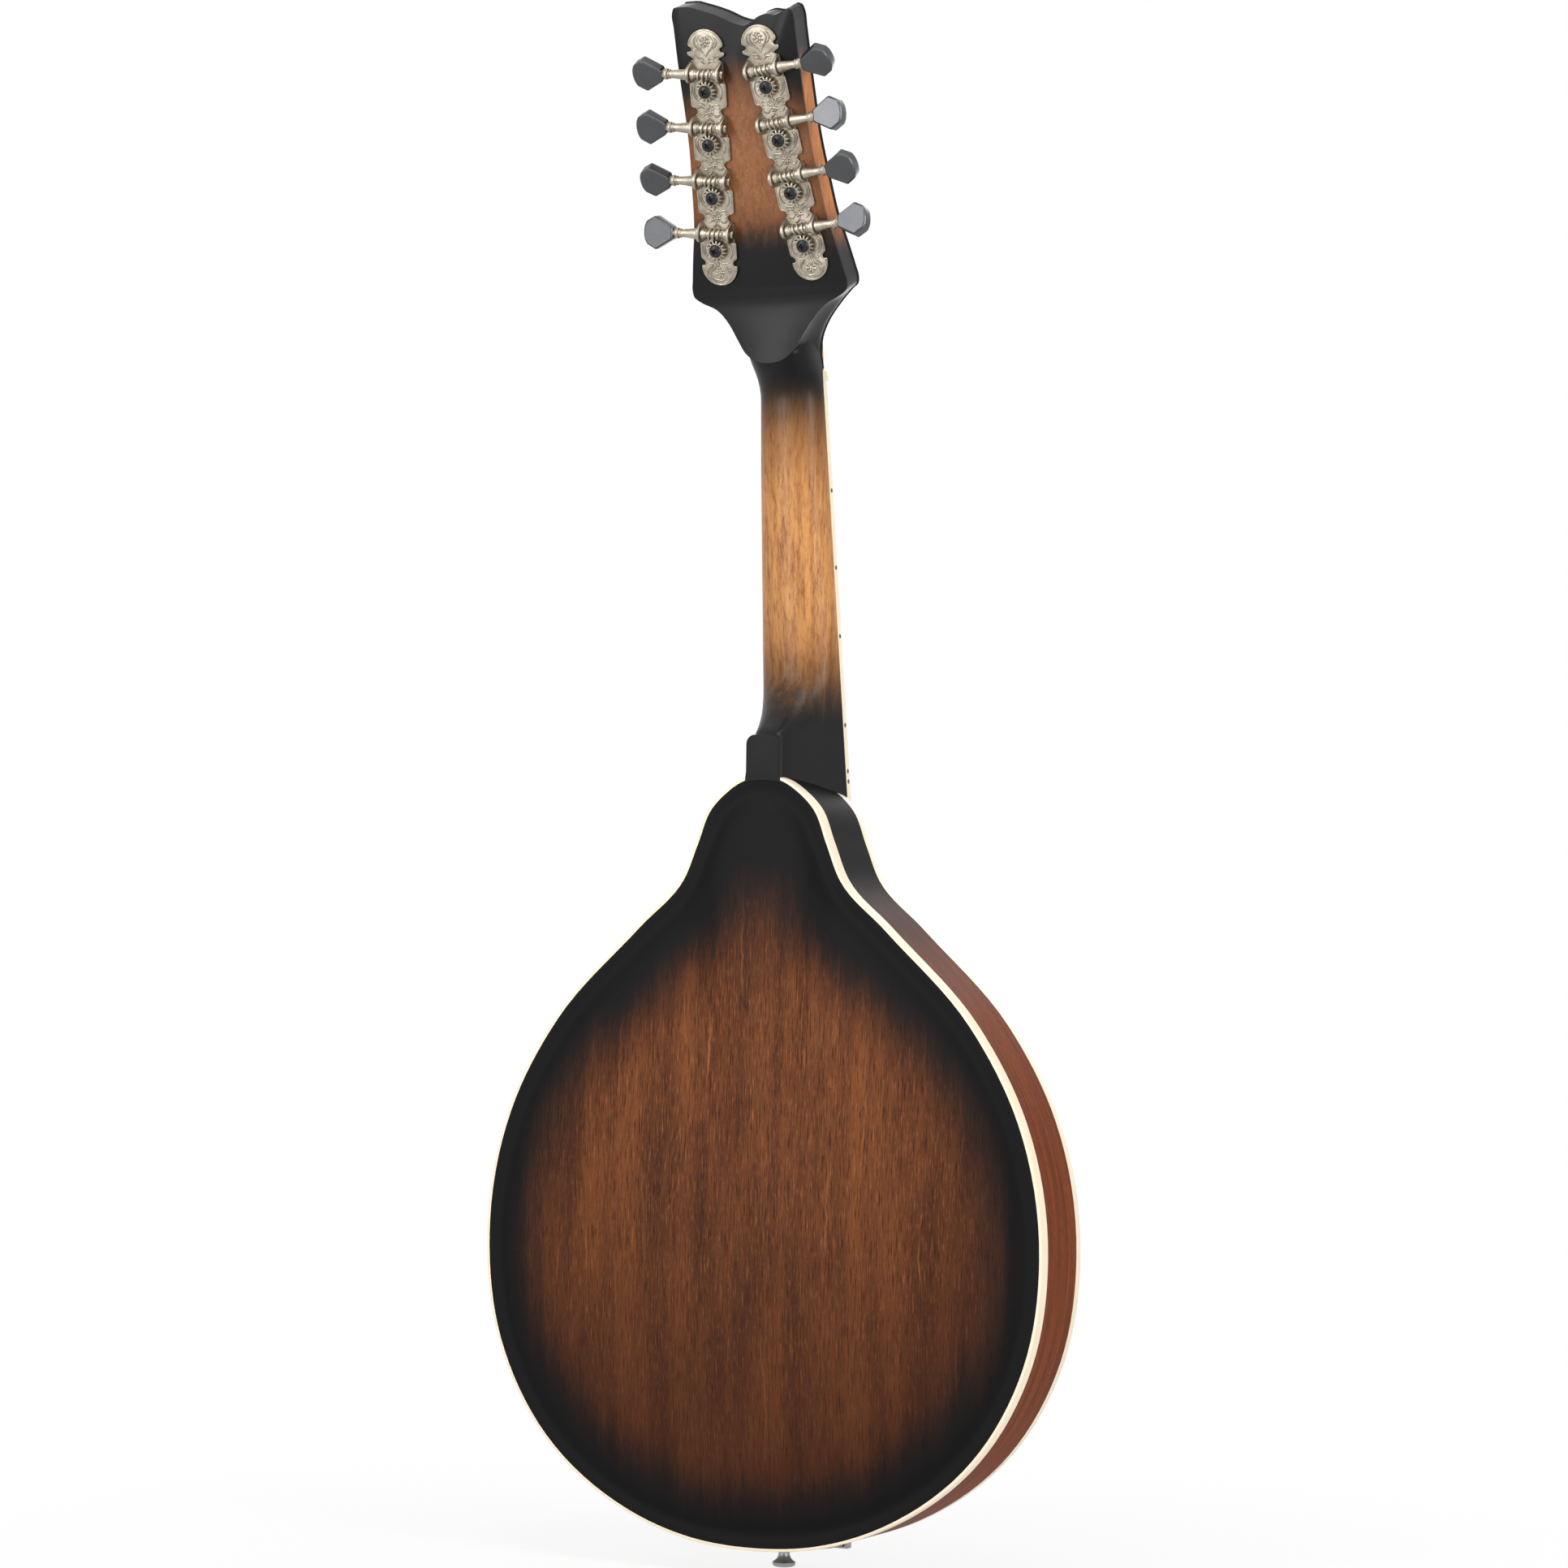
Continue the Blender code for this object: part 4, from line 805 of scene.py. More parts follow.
def palette():
    """The finishes' colours, as plain numbers."""
    group = bpy.context.scene.mandolin_colours
    return SimpleNamespace(**{name: tuple(getattr(group, name)) for name in group.__annotations__})


def shade(value, share):
    """A colour made darker or lighter."""
    return tuple(part * share for part in value)


def bent_rows(paint, across, along, deep):
    """The place across the grain's bent rows."""
    return across + (paint.noise(across * 0.015, deep * 0.015, along * 0.006) - 0.5) * 10.0


def grain(paint, across, along, deep, fine=1.0):
    """Wood's short fibres and long streaks, each from 0 to 1."""
    bent, thin = bent_rows(paint, across, along, deep), 2.7 * fine
    fibre = paint.noise(bent * thin, deep * thin, along * (0.24 * fine), 1.0, 3.0, 0.62)
    streak = paint.noise(bent * 0.42, deep * 0.42, along * 0.014, 1.0, 3.0, 0.6)
    return fibre, streak


def light_lines(paint, across, along):
    """Single light lines along the grain, from 0 to 1."""
    bent = bent_rows(paint, across, along, 0.0)
    wiggle = paint.noise(across * 0.03, 0.0, along * 0.05, 1.0, 4.0, 0.6) - 0.5
    row = bent * 0.07 + wiggle * 0.5
    near = (row.rest() - 0.5).size().step(0.0, 0.05)
    return (1.0 - near) * paint.noise(bent * 0.09, 0.0, along * 0.018, 1.0, 1.0).step(0.48, 0.6)


# Finishes: each gives the sockets of the surface shader

def back_finish(paint, colours, x, y, z):
    """Stained, satin-lacquered wood with a black burst round its edge."""
    fibre, streak = grain(paint, x, z, 0.0)
    fleck = paint.noise(x * 1.5, 0.0, z * 0.09, 1.0, 4.0, 0.7)
    cloud = paint.noise(x * 0.03, 0.0, z * 0.009, 1.0, 3.0, 0.55)
    band = paint.noise(x * 0.11, 0.0, z * 0.006, 1.0, 3.0, 0.6)
    dark, light = colours.back_dark, shade(colours.back_light, 1.2)
    tint = cloud.step(0.34, 0.66) * 0.5 + band.step(0.36, 0.62) * 0.35 + streak.step(0.25, 0.75) * 0.15
    wood = paint.mix(tint, shade(dark, 0.88), colours.back_mid)
    wood = paint.mix(fibre.step(0.5, 0.74) * 0.5, wood, colours.back_light)
    wood = paint.mix(fleck.step(0.52, 0.63) * 0.8, wood, shade(dark, 0.42))
    wood = paint.mix((1.0 - fleck.step(0.32, 0.45)) * 0.5, wood, light)
    wood = paint.mix(light_lines(paint, x, z) * streak.step(0.4, 0.75) * 0.6, wood, light)
    edge = paint.attribute("edge") + (cloud - 0.5) * 7.0 + (streak - 0.5) * 3.0 + (band - 0.5) * 12.0
    edge = edge - z.step(-340.0, -250.0) * 9.0
    bell = 1.0 - (z + (streak - 0.5) * 8.0 + (cloud - 0.5) * 16.0).step(-302.0, -232.0)
    tail = z.step(-500.0, -330.0) * 0.68 + 0.32
    burst = edge.step(8.0, 52.0).least(bell)
    red = paint.mix(burst.step(0.1, 0.8), colours.burst, shade(dark, 0.7))
    relief = (fibre * 0.7 + streak * 0.3) * burst
    return {"Base_Color": paint.mix(burst * tail, red, wood), "Roughness": 0.42 + fibre * 0.08,
            "Specular_IOR_Level": 0.07, "Normal": paint.bump(relief, 0.00005, 0.5)}


def side_finish(paint, colours, x, y, z):
    """Stained sides, black by the neck, with the grain running round the body."""
    around, side = paint.attribute("around"), colours.side
    fibre, streak = grain(paint, y, around, 0.0, 1.2)
    wood = paint.mix(streak.step(0.3, 0.7), shade(side, 0.5), side)
    wood = paint.mix(fibre.step(0.5, 0.75) * 0.4, wood, shade(side, 1.5))
    wood = paint.mix((1.0 - fibre.step(0.34, 0.52)) * 0.7, wood, shade(side, 0.3))
    wood = paint.mix(light_lines(paint, y, around) * 0.35, wood, shade(side, 1.9))
    fall = (z * -1.0 + (streak - 0.5) * 14.0).step(236.0, 300.0)
    return {"Base_Color": paint.mix(fall, colours.burst, wood), "Roughness": 0.48 + fibre * 0.08,
            "Specular_IOR_Level": 0.04, "Normal": paint.bump(fibre, 0.00005, 0.5)}


def neck_finish(paint, colours, x, y, z):
    """Neck and headstock: golden wood that fades to black at the heel, nut and tip."""
    fibre, streak = grain(paint, x, z, y, 1.1)
    cloud = paint.noise(x * 0.05, y * 0.05, z * 0.05)
    mottle = paint.noise(x * 0.9, y * 0.9, z * 0.14, 1.0, 4.0, 0.7)
    above = z.step(-40.0, -15.0)
    layout = Layout(bpy.context.scene)
    nut = layout.world @ layout.nut * 1000
    level = (y - nut.y) * math.cos(layout.lean) - (z - nut.z) * math.sin(layout.lean)
    beside = (1.0 - level.step(layout.head_rear - 1.6, layout.head_rear - 0.5)) * above
    fair = paint.mix(above, colours.neck, colours.head)
    fair = paint.mix(beside, fair, colours.head_side)
    deep = paint.mix(above, colours.neck_dark, shade(colours.head, 0.66))
    deep = paint.mix(beside, deep, shade(colours.head_side, 0.5))
    wood = paint.mix(streak.step(0.3, 0.68) * 0.5 + mottle.step(0.3, 0.56) * 0.5, deep, fair)
    wood = paint.mix(fibre.step(0.48, 0.72) * mottle.step(0.4, 0.62) * 0.4, wood, shade(colours.neck, 1.1))
    wood = paint.mix((1.0 - fibre.step(0.3, 0.46)) * 0.4, wood, shade(colours.neck_dark, 0.8))
    up = z + (streak - 0.5) * 8.0 + (cloud - 0.5) * 10.0
    width = (x.size() + (cloud - 0.5) * 4.0) * above
    tall = up.step(22.0, 50.0) * (1.0 - (up + width * 0.45).step(74.0, 104.0))
    flank = up.step(22.0, 44.0) * (1.0 - up.step(86.0, 106.0))
    tall = tall + (flank - tall) * beside
    long = up.step(-174.0, -116.0) * (1.0 - up.step(-86.0, -24.0))
    share = (tall * above + long * (1.0 - above)).least(1.0)
    rim = width.step(20.0, 31.0) * 0.35 * (1.0 - beside)
    # Painted shade: round the volute's tongue the black is painted darker still, towards tone 4
    tongue = (1.0 - z.step(4.0, 26.0)) * z.step(-44.0, -20.0)
    black = paint.mix(tongue * 0.55, colours.burst, tone(4, 4, 4))
    edge = paint.mix(share.step(0.05, 0.7), black, shade(colours.back_mid, 0.6))
    return {"Base_Color": paint.mix(share * (1.0 - rim), edge, wood), "Roughness": 0.31 + fibre * 0.1,
            "Specular_IOR_Level": 0.2, "Normal": paint.bump(fibre * share, 0.00004, 0.4)}


def rosewood(paint, colours, x, y, z):
    """Dark, open-pored wood of the fingerboard and bridge."""
    fibre, streak = grain(paint, x, z, y, 1.1)
    colour = paint.mix(streak.step(0.35, 0.7), tone(44, 27, 22), tone(86, 52, 38))
    return {"Base_Color": paint.mix(fibre.step(0.5, 0.8) * 0.7, colour, tone(28, 18, 16)),
            "Roughness": 0.5 + fibre * 0.15, "Specular_IOR_Level": 0.3,
            "Normal": paint.bump(fibre, 0.00008, 0.6)}


def top_finish(paint, colours, x, y, z):
    """Carved spruce top with the same burst."""
    drift = paint.noise(x * 0.05, 0.0, z * 0.004, 1.0, 3.0) * 30.0
    year = (x.size() * 4.6 + drift).wave() ** 3.0
    fibre = paint.noise(x * 2.6, 0.0, z * 0.1, 1.0, 3.0)
    band = paint.noise(x * 0.12, 0.0, z * 0.004)
    wood = paint.mix(band.step(0.3, 0.7), tone(206, 146, 82), tone(186, 122, 62))
    wood = paint.mix(year * (0.08 + band.step(0.2, 0.8) * 0.4), wood, tone(142, 84, 40))
    wood = paint.mix(fibre.step(0.4, 0.8) * 0.35, wood, tone(150, 92, 46))
    burst = (paint.attribute("edge") + (fibre - 0.5) * 4.0).step(7.0, 50.0)
    red = paint.mix(burst, colours.burst, tone(92, 40, 18))
    return {"Base_Color": paint.mix(burst, red, wood), "Roughness": 0.38 + fibre * 0.1,
            "Specular_IOR_Level": 0.35, "Normal": paint.bump(year * burst, 0.00004, 0.4)}


def pale_wood(paint, colours, x, y, z):
    """Bare wood inside the body."""
    fibre, streak = grain(paint, x, z, y)
    colour = paint.mix(streak.step(0.3, 0.7), tone(178, 142, 98), tone(206, 174, 128))
    return {"Base_Color": paint.mix(fibre * 0.4, colour, tone(150, 112, 74)), "Roughness": 0.7,
            "Normal": paint.bump(fibre, 0.0001, 0.5)}


def cream(paint, colours, x, y, z):
    """Cream plastic binding."""
    cloud = paint.noise(x * 0.08, y * 0.3, z * 0.08, 1.0, 3.0)
    fine = paint.noise(x * 2.0, y * 2.0, z * 2.0)
    base = colours.binding
    return {"Base_Color": paint.mix(cloud.step(0.35, 0.75) * 0.5, base, shade(base, 0.9)),
            "Roughness": 0.36 + fine * 0.1, "Normal": paint.bump(fine, 0.00002, 0.3)}


def pearl(paint, colours, x, y, z):
    """Mother-of-pearl dots."""
    band = (x * 1.3 + z * 0.9 + paint.noise(x, y, z, 0.5) * 6.0).wave()
    return {"Base_Color": paint.mix(band, tone(205, 212, 214), tone(238, 232, 222)),
            "Roughness": 0.2 + band * 0.1}


def aged_nickel(paint, colours, x, y, z, bright, rough):
    """Warm, cloudy nickel of one brightness and roughness, stained and pitted."""
    base = shade(colours.nickel, bright)
    stain = paint.noise(x, y, z, 0.32, 4.0, 0.65)
    speck = paint.noise(x, y, z, 3.2, 3.0, 0.7)
    colour = paint.mix(stain.step(0.4, 0.75), shade(base, 1.12), shade(base, 0.66))
    return {"Base_Color": paint.mix(speck.step(0.52, 0.8) * 0.45, colour, shade(base, 0.42)), "Metallic": 1.0,
            "Roughness": rough + stain * 0.16 + speck * 0.08, "Normal": paint.bump(speck, 0.00005, 0.6)}


def satin_chrome(paint, colours, x, y, z, bright):
    """Satin chrome with a fine brushed grain."""
    brush = paint.noise(x * 0.6, y * 6.0, z * 6.0, 1.0, 3.0)
    base = shade(colours.chrome, bright)
    return {"Base_Color": paint.mix(paint.noise(x, y, z, 0.2), shade(base, 0.88), shade(base, 1.08)),
            "Metallic": 1.0, "Roughness": 0.30 + brush * 0.10, "Normal": paint.bump(brush, 0.00001, 0.3)}


def wound_bronze(paint, colours, x, y, z):
    """Bronze winding on the two lower pairs, with painted shade between its turns and painted highlight on
    them.
    """
    # Painted shade and highlight: dark in the gaps between turns, light on their crowns
    coil = (z * 28.0).wave()
    return {"Base_Color": paint.mix(coil, tone(120, 84, 48), tone(204, 158, 100)), "Metallic": 1.0,
            "Roughness": 0.3, "Normal": paint.bump(coil, 0.00006, 0.8)}


def speckled(paint, colours, x, y, z, stretch, noise, tones, rough, relief=None, **others):
    """A finish between two near tones; its relief is a distance and a strength."""
    fine = paint.noise(x * stretch[0], y * stretch[1], z * stretch[2], *noise)
    first, second = tones
    made = {"Base_Color": paint.mix(fine, tone(*first), tone(*second)),
            "Roughness": rough[0] + fine * rough[1]}
    if relief:
        made["Normal"] = paint.bump(fine, *relief)
    return made | others


RECIPES = {
    "back": back_finish, "side": side_finish, "neck": neck_finish, "rosewood": rosewood, "top": top_finish,
    "pale_wood": pale_wood, "cream": cream, "pearl": pearl, "bronze": wound_bronze,
    "nickel": partial(aged_nickel, bright=1.0, rough=0.26),
    # The dirt that stays in the hollows of the engraved lines
    # Antique patina with painted shade, on the flat dark sheets beside the engraved lines
    "dark_nickel": partial(aged_nickel, bright=0.4, rough=0.42),
    "satin_chrome": partial(satin_chrome, bright=1.0),
    "bright_chrome": partial(satin_chrome, bright=3.2),
    # Satin lacquer over veneer
    "black": partial(speckled, stretch=(2.2, 2.2, 0.12), noise=(1.0, 3.0), tones=((17, 16, 17), (26, 25, 26)),
                     rough=(0.44, 0.08), relief=(0.00003, 0.3), Specular_IOR_Level=0.13),
    "bone": partial(speckled, stretch=(0.8, 3.0, 3.0), noise=(1.0, 4.0),
                    tones=((232, 222, 176), (212, 198, 148)), rough=(0.35, 0.1), relief=(0.00003, 0.4)),
    "black_plastic": partial(speckled, stretch=(1.0, 1.0, 1.0), noise=(2.0,), rough=(0.35, 0.1),
                             tones=((20, 20, 21), (30, 29, 30))),
    "black_steel": partial(speckled, stretch=(1.0, 1.0, 1.0), noise=(3.0, 3.0), rough=(0.25, 0.15),
                           tones=((20, 20, 24), (40, 40, 46)), Metallic=0.4),
    "brass": partial(speckled, stretch=(1.0, 1.0, 1.0), noise=(0.6, 4.0, 0.6), rough=(0.25, 0.2),
                     tones=((206, 168, 96), (160, 122, 66)), Metallic=1.0),
    "steel": partial(speckled, stretch=(4.0, 4.0, 0.5), noise=(1.0, 3.0), rough=(0.22, 0.12),
                     tones=((196, 197, 198), (150, 151, 153)), Metallic=1.0),
}


class FinishStore:
    """Each finish, made when it is first asked for."""

    def __init__(self):
        self.made = {}

    def get(self, name):
        """The material of a finish."""
        if name not in self.made:
            paint = Paint(bpy.data.materials.new(name))
            self.made[name] = paint.finish(RECIPES[name](paint, palette(), *paint.place()))
        return self.made[name]


FINISHES = FinishStore()


# Body

RINGS = [1.0, 0.993, 0.984, 0.974, 0.963, 0.951, 0.938, 0.925, 0.91, 0.895, 0.88, 0.86, 0.84, 0.815, 0.79,
         0.76, 0.73, 0.69, 0.65, 0.6, 0.55, 0.49, 0.43, 0.37, 0.3, 0.23, 0.16, 0.1, 0.05, 0.02]


def mark_edge(piece, layout):
    """Stores each vertex's distance from the body's outline and its place along it, in millimetres."""
    back = layout.world.inverted()
    spots = np.array([(back @ vert.co)[:] for vert in piece.data.vertices])[:, [0, 2]]
    edge, around = layout.edge_of(spots)
    for name, values in (("edge", edge), ("around", around)):
        made = piece.data.attributes.new(name, "FLOAT", "POINT")
        made.data.foreach_set("value", values.astype(np.float32))


def carved_plate(layout, name, level, outward, arch):
    """A carved plate: an arch with a hollow inside its edge."""
    body = layout.body
    rings = []
    for share in RINGS:
        points = [(x * share, ARCH_CENTRE + (z - ARCH_CENTRE) * share) for x, z in layout.plate_edge]
        edge = layout.edge_of(np.array(points))[0]
        ring = []
        for (x, z), away in zip(points, edge):
            hollow = body.groove * math.exp(-((away - body.groove_in) / GROOVE_WIDE) ** 2)
            ring.append(Vector((x, level + outward * (arch * arch_share(share) - hollow), z)))
        rings.append(ring)
    piece = loft(name, rings, ends=False)
    edit(piece)
    bpy.ops.mesh.select_mode(type="EDGE")
    bpy.ops.mesh.select_all(action="DESELECT")
    mesh = bmesh.from_edit_mesh(piece.data)
    for edge in mesh.edges:
        middle = (edge.verts[0].co + edge.verts[1].co) / 2
        edge.select = edge.is_boundary and math.hypot(middle.x, middle.z - ARCH_CENTRE) < 10
    bpy.ops.mesh.edge_face_add()
    bpy.ops.mesh.poke()
    fresh()
    if sum(face.normal.y * face.area for face in piece.data.polygons) * outward < 0:
        piece.data.flip_normals()
    modify(piece, "SOLIDIFY", thickness=body.plate, offset=-1.0, use_even_offset=False)
    return piece


def body_hoop(layout, name, section):
    """Carries a section, as (inset, y) points, once round the body."""
    rings = [upright(inset(layout.outline, away), y) for away, y in section]
    return loft(name, rings + [rings[0]], ends=False)


def build_plates(layout):
    """The carved back and the carved top with its soundhole."""
    back = carved_plate(layout, "carved_back", 0.0, 1, layout.body.back_arch)
    mark_edge(settle(back, "back", "burst_wood", "back_plate", place=layout.world, crease=40), layout)
    top = carved_plate(layout, "carved_top", layout.front, -1, layout.body.top_arch)
    levels = (layout.front - 30, layout.front + 10)
    combine(top, loft("hole_cutter", [upright(layout.oval(0.0), y) for y in levels]), "DIFFERENCE")
    mark_edge(settle(top, "top", "burst_wood", "top_plate", place=layout.world, crease=40), layout)


def build_soundhole(layout):
    """Inlaid rings round the soundhole."""
    light, dark = ("cream", "cream_binding"), ("black_plastic", "black_veneer")
    rows = (("soundhole_edge", 0.0, 1.6, light), ("soundhole_line", 1.6, 2.3, dark),
            ("ring_outer", 6.0, 6.7, dark), ("ring_cream", 6.7, 8.1, light), ("ring_inner", 8.1, 8.8, dark))
    for name, start, stop, (finish, slot) in rows:
        rings = []
        for away, lift in ((start, 1.2), (start, -0.06), (stop, -0.06), (stop, 1.2)):
            rings.append([Vector((x, layout.top_level(x, z) + lift, z)) for x, z in layout.oval(away)])
        piece = loft(name, rings + [rings[0]], ends=False)
        settle(piece, finish, slot, place=layout.world, crease=40)


def build_sides(layout):
    """The ribs and both bindings."""
    body, front = layout.body, layout.front
    low, high = -body.back_binding, front + body.top_binding
    ribs = body_hoop(layout, "ribs", [(0, low), (body.rib, low), (body.rib, high), (0, high)])
    mark_edge(settle(ribs, "side", "side_wood", "rim", place=layout.world, crease=40), layout)
    wide = body.binding
    for name, level, way, tall, node in (("binding_back", 0.0, 1, body.back_binding, "back_binding"),
                                         ("binding_top", front, -1, body.top_binding, "top_binding")):
        profile = [(0, tall), (0, 0.45), (0.12, 0.13), (0.42, 0), (wide, 0), (wide, tall)]
        section = [(away, level - way * under) for away, under in profile]
        piece = body_hoop(layout, name, section)
        if node == "back_binding":
            half = CAP_HALF - 0.5
            box = [(-half, -10), (half, -10), (half, 10), (-half, 10)]
            combine(piece, slab("binding_gap", box, -10, 10), "DIFFERENCE")
        settle(piece, "cream", "cream_binding", node, place=layout.world, crease=40)


# Neck and headstock

def neck_section(layout, z, count=36):
    """A level section of the neck: flat in front, round behind, square-backed at the heel."""
    neck, nut = layout.neck, layout.nut
    tilt, lean = neck.neck_angle, layout.lean
    along = (nut.z - z) / math.cos(tilt)
    half = layout.board_half(max(along, 0.0))
    board_front = nut.y + (z - nut.z) * math.tan(tilt) + (layout.seat - 0.2) / math.cos(tilt)
    head_front = nut.y + (z - nut.z) * math.tan(lean) + layout.head_face / math.cos(lean)
    above = z - nut.z
    front = max(board_front, head_front + 0.5 * min(1.0, max(0.0, above / 12)))
    half += 0.1
    swell = soft_step((above + 8) / 20)
    deep = neck.deep_nut + (neck.deep - neck.deep_nut) * min(1.0, max(0.0, along / 40)) - layout.seat
    back = board_front + (deep + VOLUTE * swell) / math.cos(tilt)
    if above > 0:
        back = min(back, layout.rear_at(above) - 0.7)
    heel = min(1.0, max(0.0, (HEEL_START - z) / (HEEL_START - HEEL_FULL))) ** 1.6
    back += (-3.0 - back) * heel
    squarer = 1 - 0.35 * swell
    ring = []
    for k in range(count + 1):
        way = math.pi * k / count
        wide, deepness = abs(math.cos(way)), max(math.sin(way), 0.0)
        neck_share, heel_share = deepness ** squarer, deepness ** 0.5
        neck_x = half * wide ** (0.92 * squarer)
        heel_x = (CAP_HALF + (half - CAP_HALF) * (1 - heel_share) ** 1.2) * wide ** 0.3
        x = neck_x + (heel_x - neck_x) * heel
        share = neck_share + (heel_share - neck_share) * heel
        if k in (0, count):
            x, share = half, 0.0
        ring.append(Vector((math.copysign(x, math.cos(way)), front + (back - front) * share, z)))
    return ring


def head_outline(lower, square=0):
    """The headstock's outline, smoothed but for the first points of its lower edge."""
    sharp, run = lower[:square], lower[square:] + HEAD_EDGE
    run += [(-x, up) for x, up in reversed(lower[square:]) if x > 1e-6]
    line = [tuple(point) for point in through(run, 4, closed=not square)]
    line = [(x, min(up, HEAD_TIP)) for x, up in line]
    return sharp + line + [(-x, up) for x, up in reversed(sharp) if x > 1e-6]


def between(line, other, share):
    """An outline part of the way from one to another that has as many points."""
    return [(x + (a - x) * share, up + (b - up) * share) for (x, up), (a, b) in zip(line, other)]


def build_neck(layout):
    """Neck, heel and headstock in one piece of wood."""
    nut = layout.nut
    levels = [-8 + 3.0 * k for k in range(22)]
    levels += [58 + 7.0 * k for k in range(int((nut.z - 34 - 58) / 7) + 1)]
    levels += [nut.z + 3.0 * k for k in range(-9, 0)] + [nut.z + 1.0 * k for k in range(24)]
    neck = loft("neck_wood", [neck_section(layout, z) for z in levels])
    flare, tongue = head_outline(HEAD_FLARE), head_outline(TONGUE)
    face, deepest = layout.head_face, layout.head_rear + TONGUE_SWEEP[-1][1]
    rings = [flat(flare, face), flat(flare, face + FLARE_THICK)]
    for k in range(1, 9):
        outline = between(flare, tongue, math.sin(math.pi / 2 * k / 8))
        rings.append(flat(outline, face + FLARE_THICK + TAPER_STEP * k))
    head = loft("head_wood", rings + [flat(tongue, deepest)])
    tip = HEAD_TIP + 10
    sweep = [(tip, layout.head_rear)] + [(up, layout.head_rear + back) for up, back in TONGUE_SWEEP]
    sweep += [(TONGUE_SWEEP[-1][0], deepest + 20), (tip, deepest + 20)]
    combine(head, bar("behind_head", sweep, -60, 60), "DIFFERENCE")
    bevel(head, 0.45, 3, 38)
    seat(head, layout.world.inverted() @ layout.head_frame())
    combine(neck, head, "UNION")
    space = [upright(layout.outline, y) for y in (layout.front - 20, 20)]
    combine(neck, loft("body_space", space), "DIFFERENCE")
    settle(neck, "neck", "neck_wood", "neck", place=layout.world, crease=32)
    corner = CAP_HALF * 0.5
    low, crown = NECK_END - 2.6, arc((CAP_HALF - corner, HEEL_FULL - corner), corner, 0, 90, 8)
    half = [(0.0, low), (3.0, low - 0.1), (6.0, low - 0.5), (CAP_HALF + 0.5, low - 1.2),
            (CAP_HALF + 0.3, low + 1.6), (CAP_HALF, low + 4.0)] + crown + [(0.0, HEEL_FULL)]
    cap = loft("heel_cap_wood", [upright(mirrored(half), y) for y in (-3.0, 0.4)])
    bevel(cap, 0.55, 4)
    settle(cap, "black", "black_veneer", "heel_cap", place=layout.world, crease=40)


def build_fingerboard(layout):
    """Fingerboard, frets, dots and binding."""
    neck, frame_here = layout.neck, layout.neck_frame()
    inner, stop = BOARD_INNER, layout.board_long
    half, end = layout.board_half(GAP), layout.board_half(stop)
    inside = [(half - inner, GAP), (end - inner, stop - inner), (inner - end, stop - inner),
              (inner - half, GAP)]
    board = slab("board", inside, 0.0, neck.board)
    for number in range(1, neck.frets + 1):
        place = layout.fret(number)
        slot = [(-20, place - 0.3), (20, place - 0.3), (20, place + 0.3), (-20, place + 0.3)]
        combine(board, slab("slot", slot, -1, 1.2), "DIFFERENCE")
    settle(board, "rosewood", "rosewood", "fingerboard", place=frame_here)
    crown = arc((0, 0), neck.fret_wide / 2, 0, 180, 10)
    rings = []
    for x, share in ((-1.0, 0.25), (-0.985, 0.75), (-0.965, 1.0), (0.965, 1.0), (0.985, 0.75), (1.0, 0.25)):
        rings.append([Vector((x, v * (0.6 + 0.4 * share), -n * neck.fret_tall * share)) for v, n in crown]
                     + [Vector((x, -0.25, 0.6)), Vector((x, 0.25, 0.6))])
    wire = loft("wire", rings)
    frets = []
    for number in range(1, neck.frets + 1):
        place = layout.fret(number)
        wider = Matrix.Diagonal((layout.board_half(place) - inner - 0.1, 1, 1, 1))
        frets.append(copied(wire, f"fret_{number}", Matrix.Translation((0, place, 0)) @ wider))
    discard(wire)
    settle(joined("frets", frets), "steel", "steel", place=frame_here, crease=40)
    dot = turn("dot", [(-0.03, 2.6), (0.0, 3.0), (1.0, 3.0)], 32)
    small = turn("small", [(-0.5, 1.0), (0.02, 1.0), (0.05, 0.85)], 20)
    dots, marks = [], []
    for number in DOT_FRETS:
        middle = (layout.fret(number) + layout.fret(number - 1)) / 2
        for across in ((-5.2, 5.2) if number == 12 else (0.0,)):
            dots.append(copied(dot, f"dot_{number}", Matrix.Translation((across, middle, 0))))
        for shift in ((-2.2, 2.2) if number == 12 else (0.0,)):
            spot = Vector((-layout.board_half(middle + shift), middle + shift, neck.board * 0.45))
            face = Matrix(((0, 0, -1), (1, 0, 0), (0, 1, 0))).to_4x4()
            marks.append(copied(small, f"mark_{number}", Matrix.Translation(spot) @ face))
    discard(dot, small)
    settle(joined("face_dots", dots), "pearl", "bone", place=frame_here)
    settle(joined("side_dots", marks), "black_plastic", "black_veneer", place=frame_here)
    outside = [(half, GAP), (end, stop), (-end, stop), (-half, GAP)]
    strip = slab("board_binding", outside + list(reversed(inside)), 0.0, neck.board + 0.1)
    bevel(strip, 0.25, 3)
    settle(strip, "cream", "cream_binding", "fingerboard_binding", place=frame_here, crease=40)


def string_x(number, spread=1.0):
    """Sideways place of a string, number 0 being the outer bass string."""
    return (PAIR_CENTRES[number // 2] + PAIR_SPLIT * (1 if number % 2 else -1)) * spread


def build_nut(layout):
    """Bone nut with its eight slots."""
    half = layout.neck.nut_half - 0.1
    side = [(0, 4.0), (0, 0.5 - NUT_TALL), (-0.4, -NUT_TALL), (-1.4, -NUT_TALL), (-NUT_LONG, 1.3 - NUT_TALL),
            (-NUT_LONG, 4.0)]
    nut = bar("nut_bone", side, -half, half)
    bevel(nut, 0.25, 3)
    for number, radius in enumerate(STRING_RADII):
        x = string_x(number)
        slot = tube("slot", [(x, 2.0, -1.0 - 1.2 - radius), (x, -6.0, -1.0 - 0.2)], radius + 0.06, 12)
        combine(nut, slot, "DIFFERENCE")
    settle(nut, "bone", "bone", "nut", place=layout.neck_frame(), crease=35)


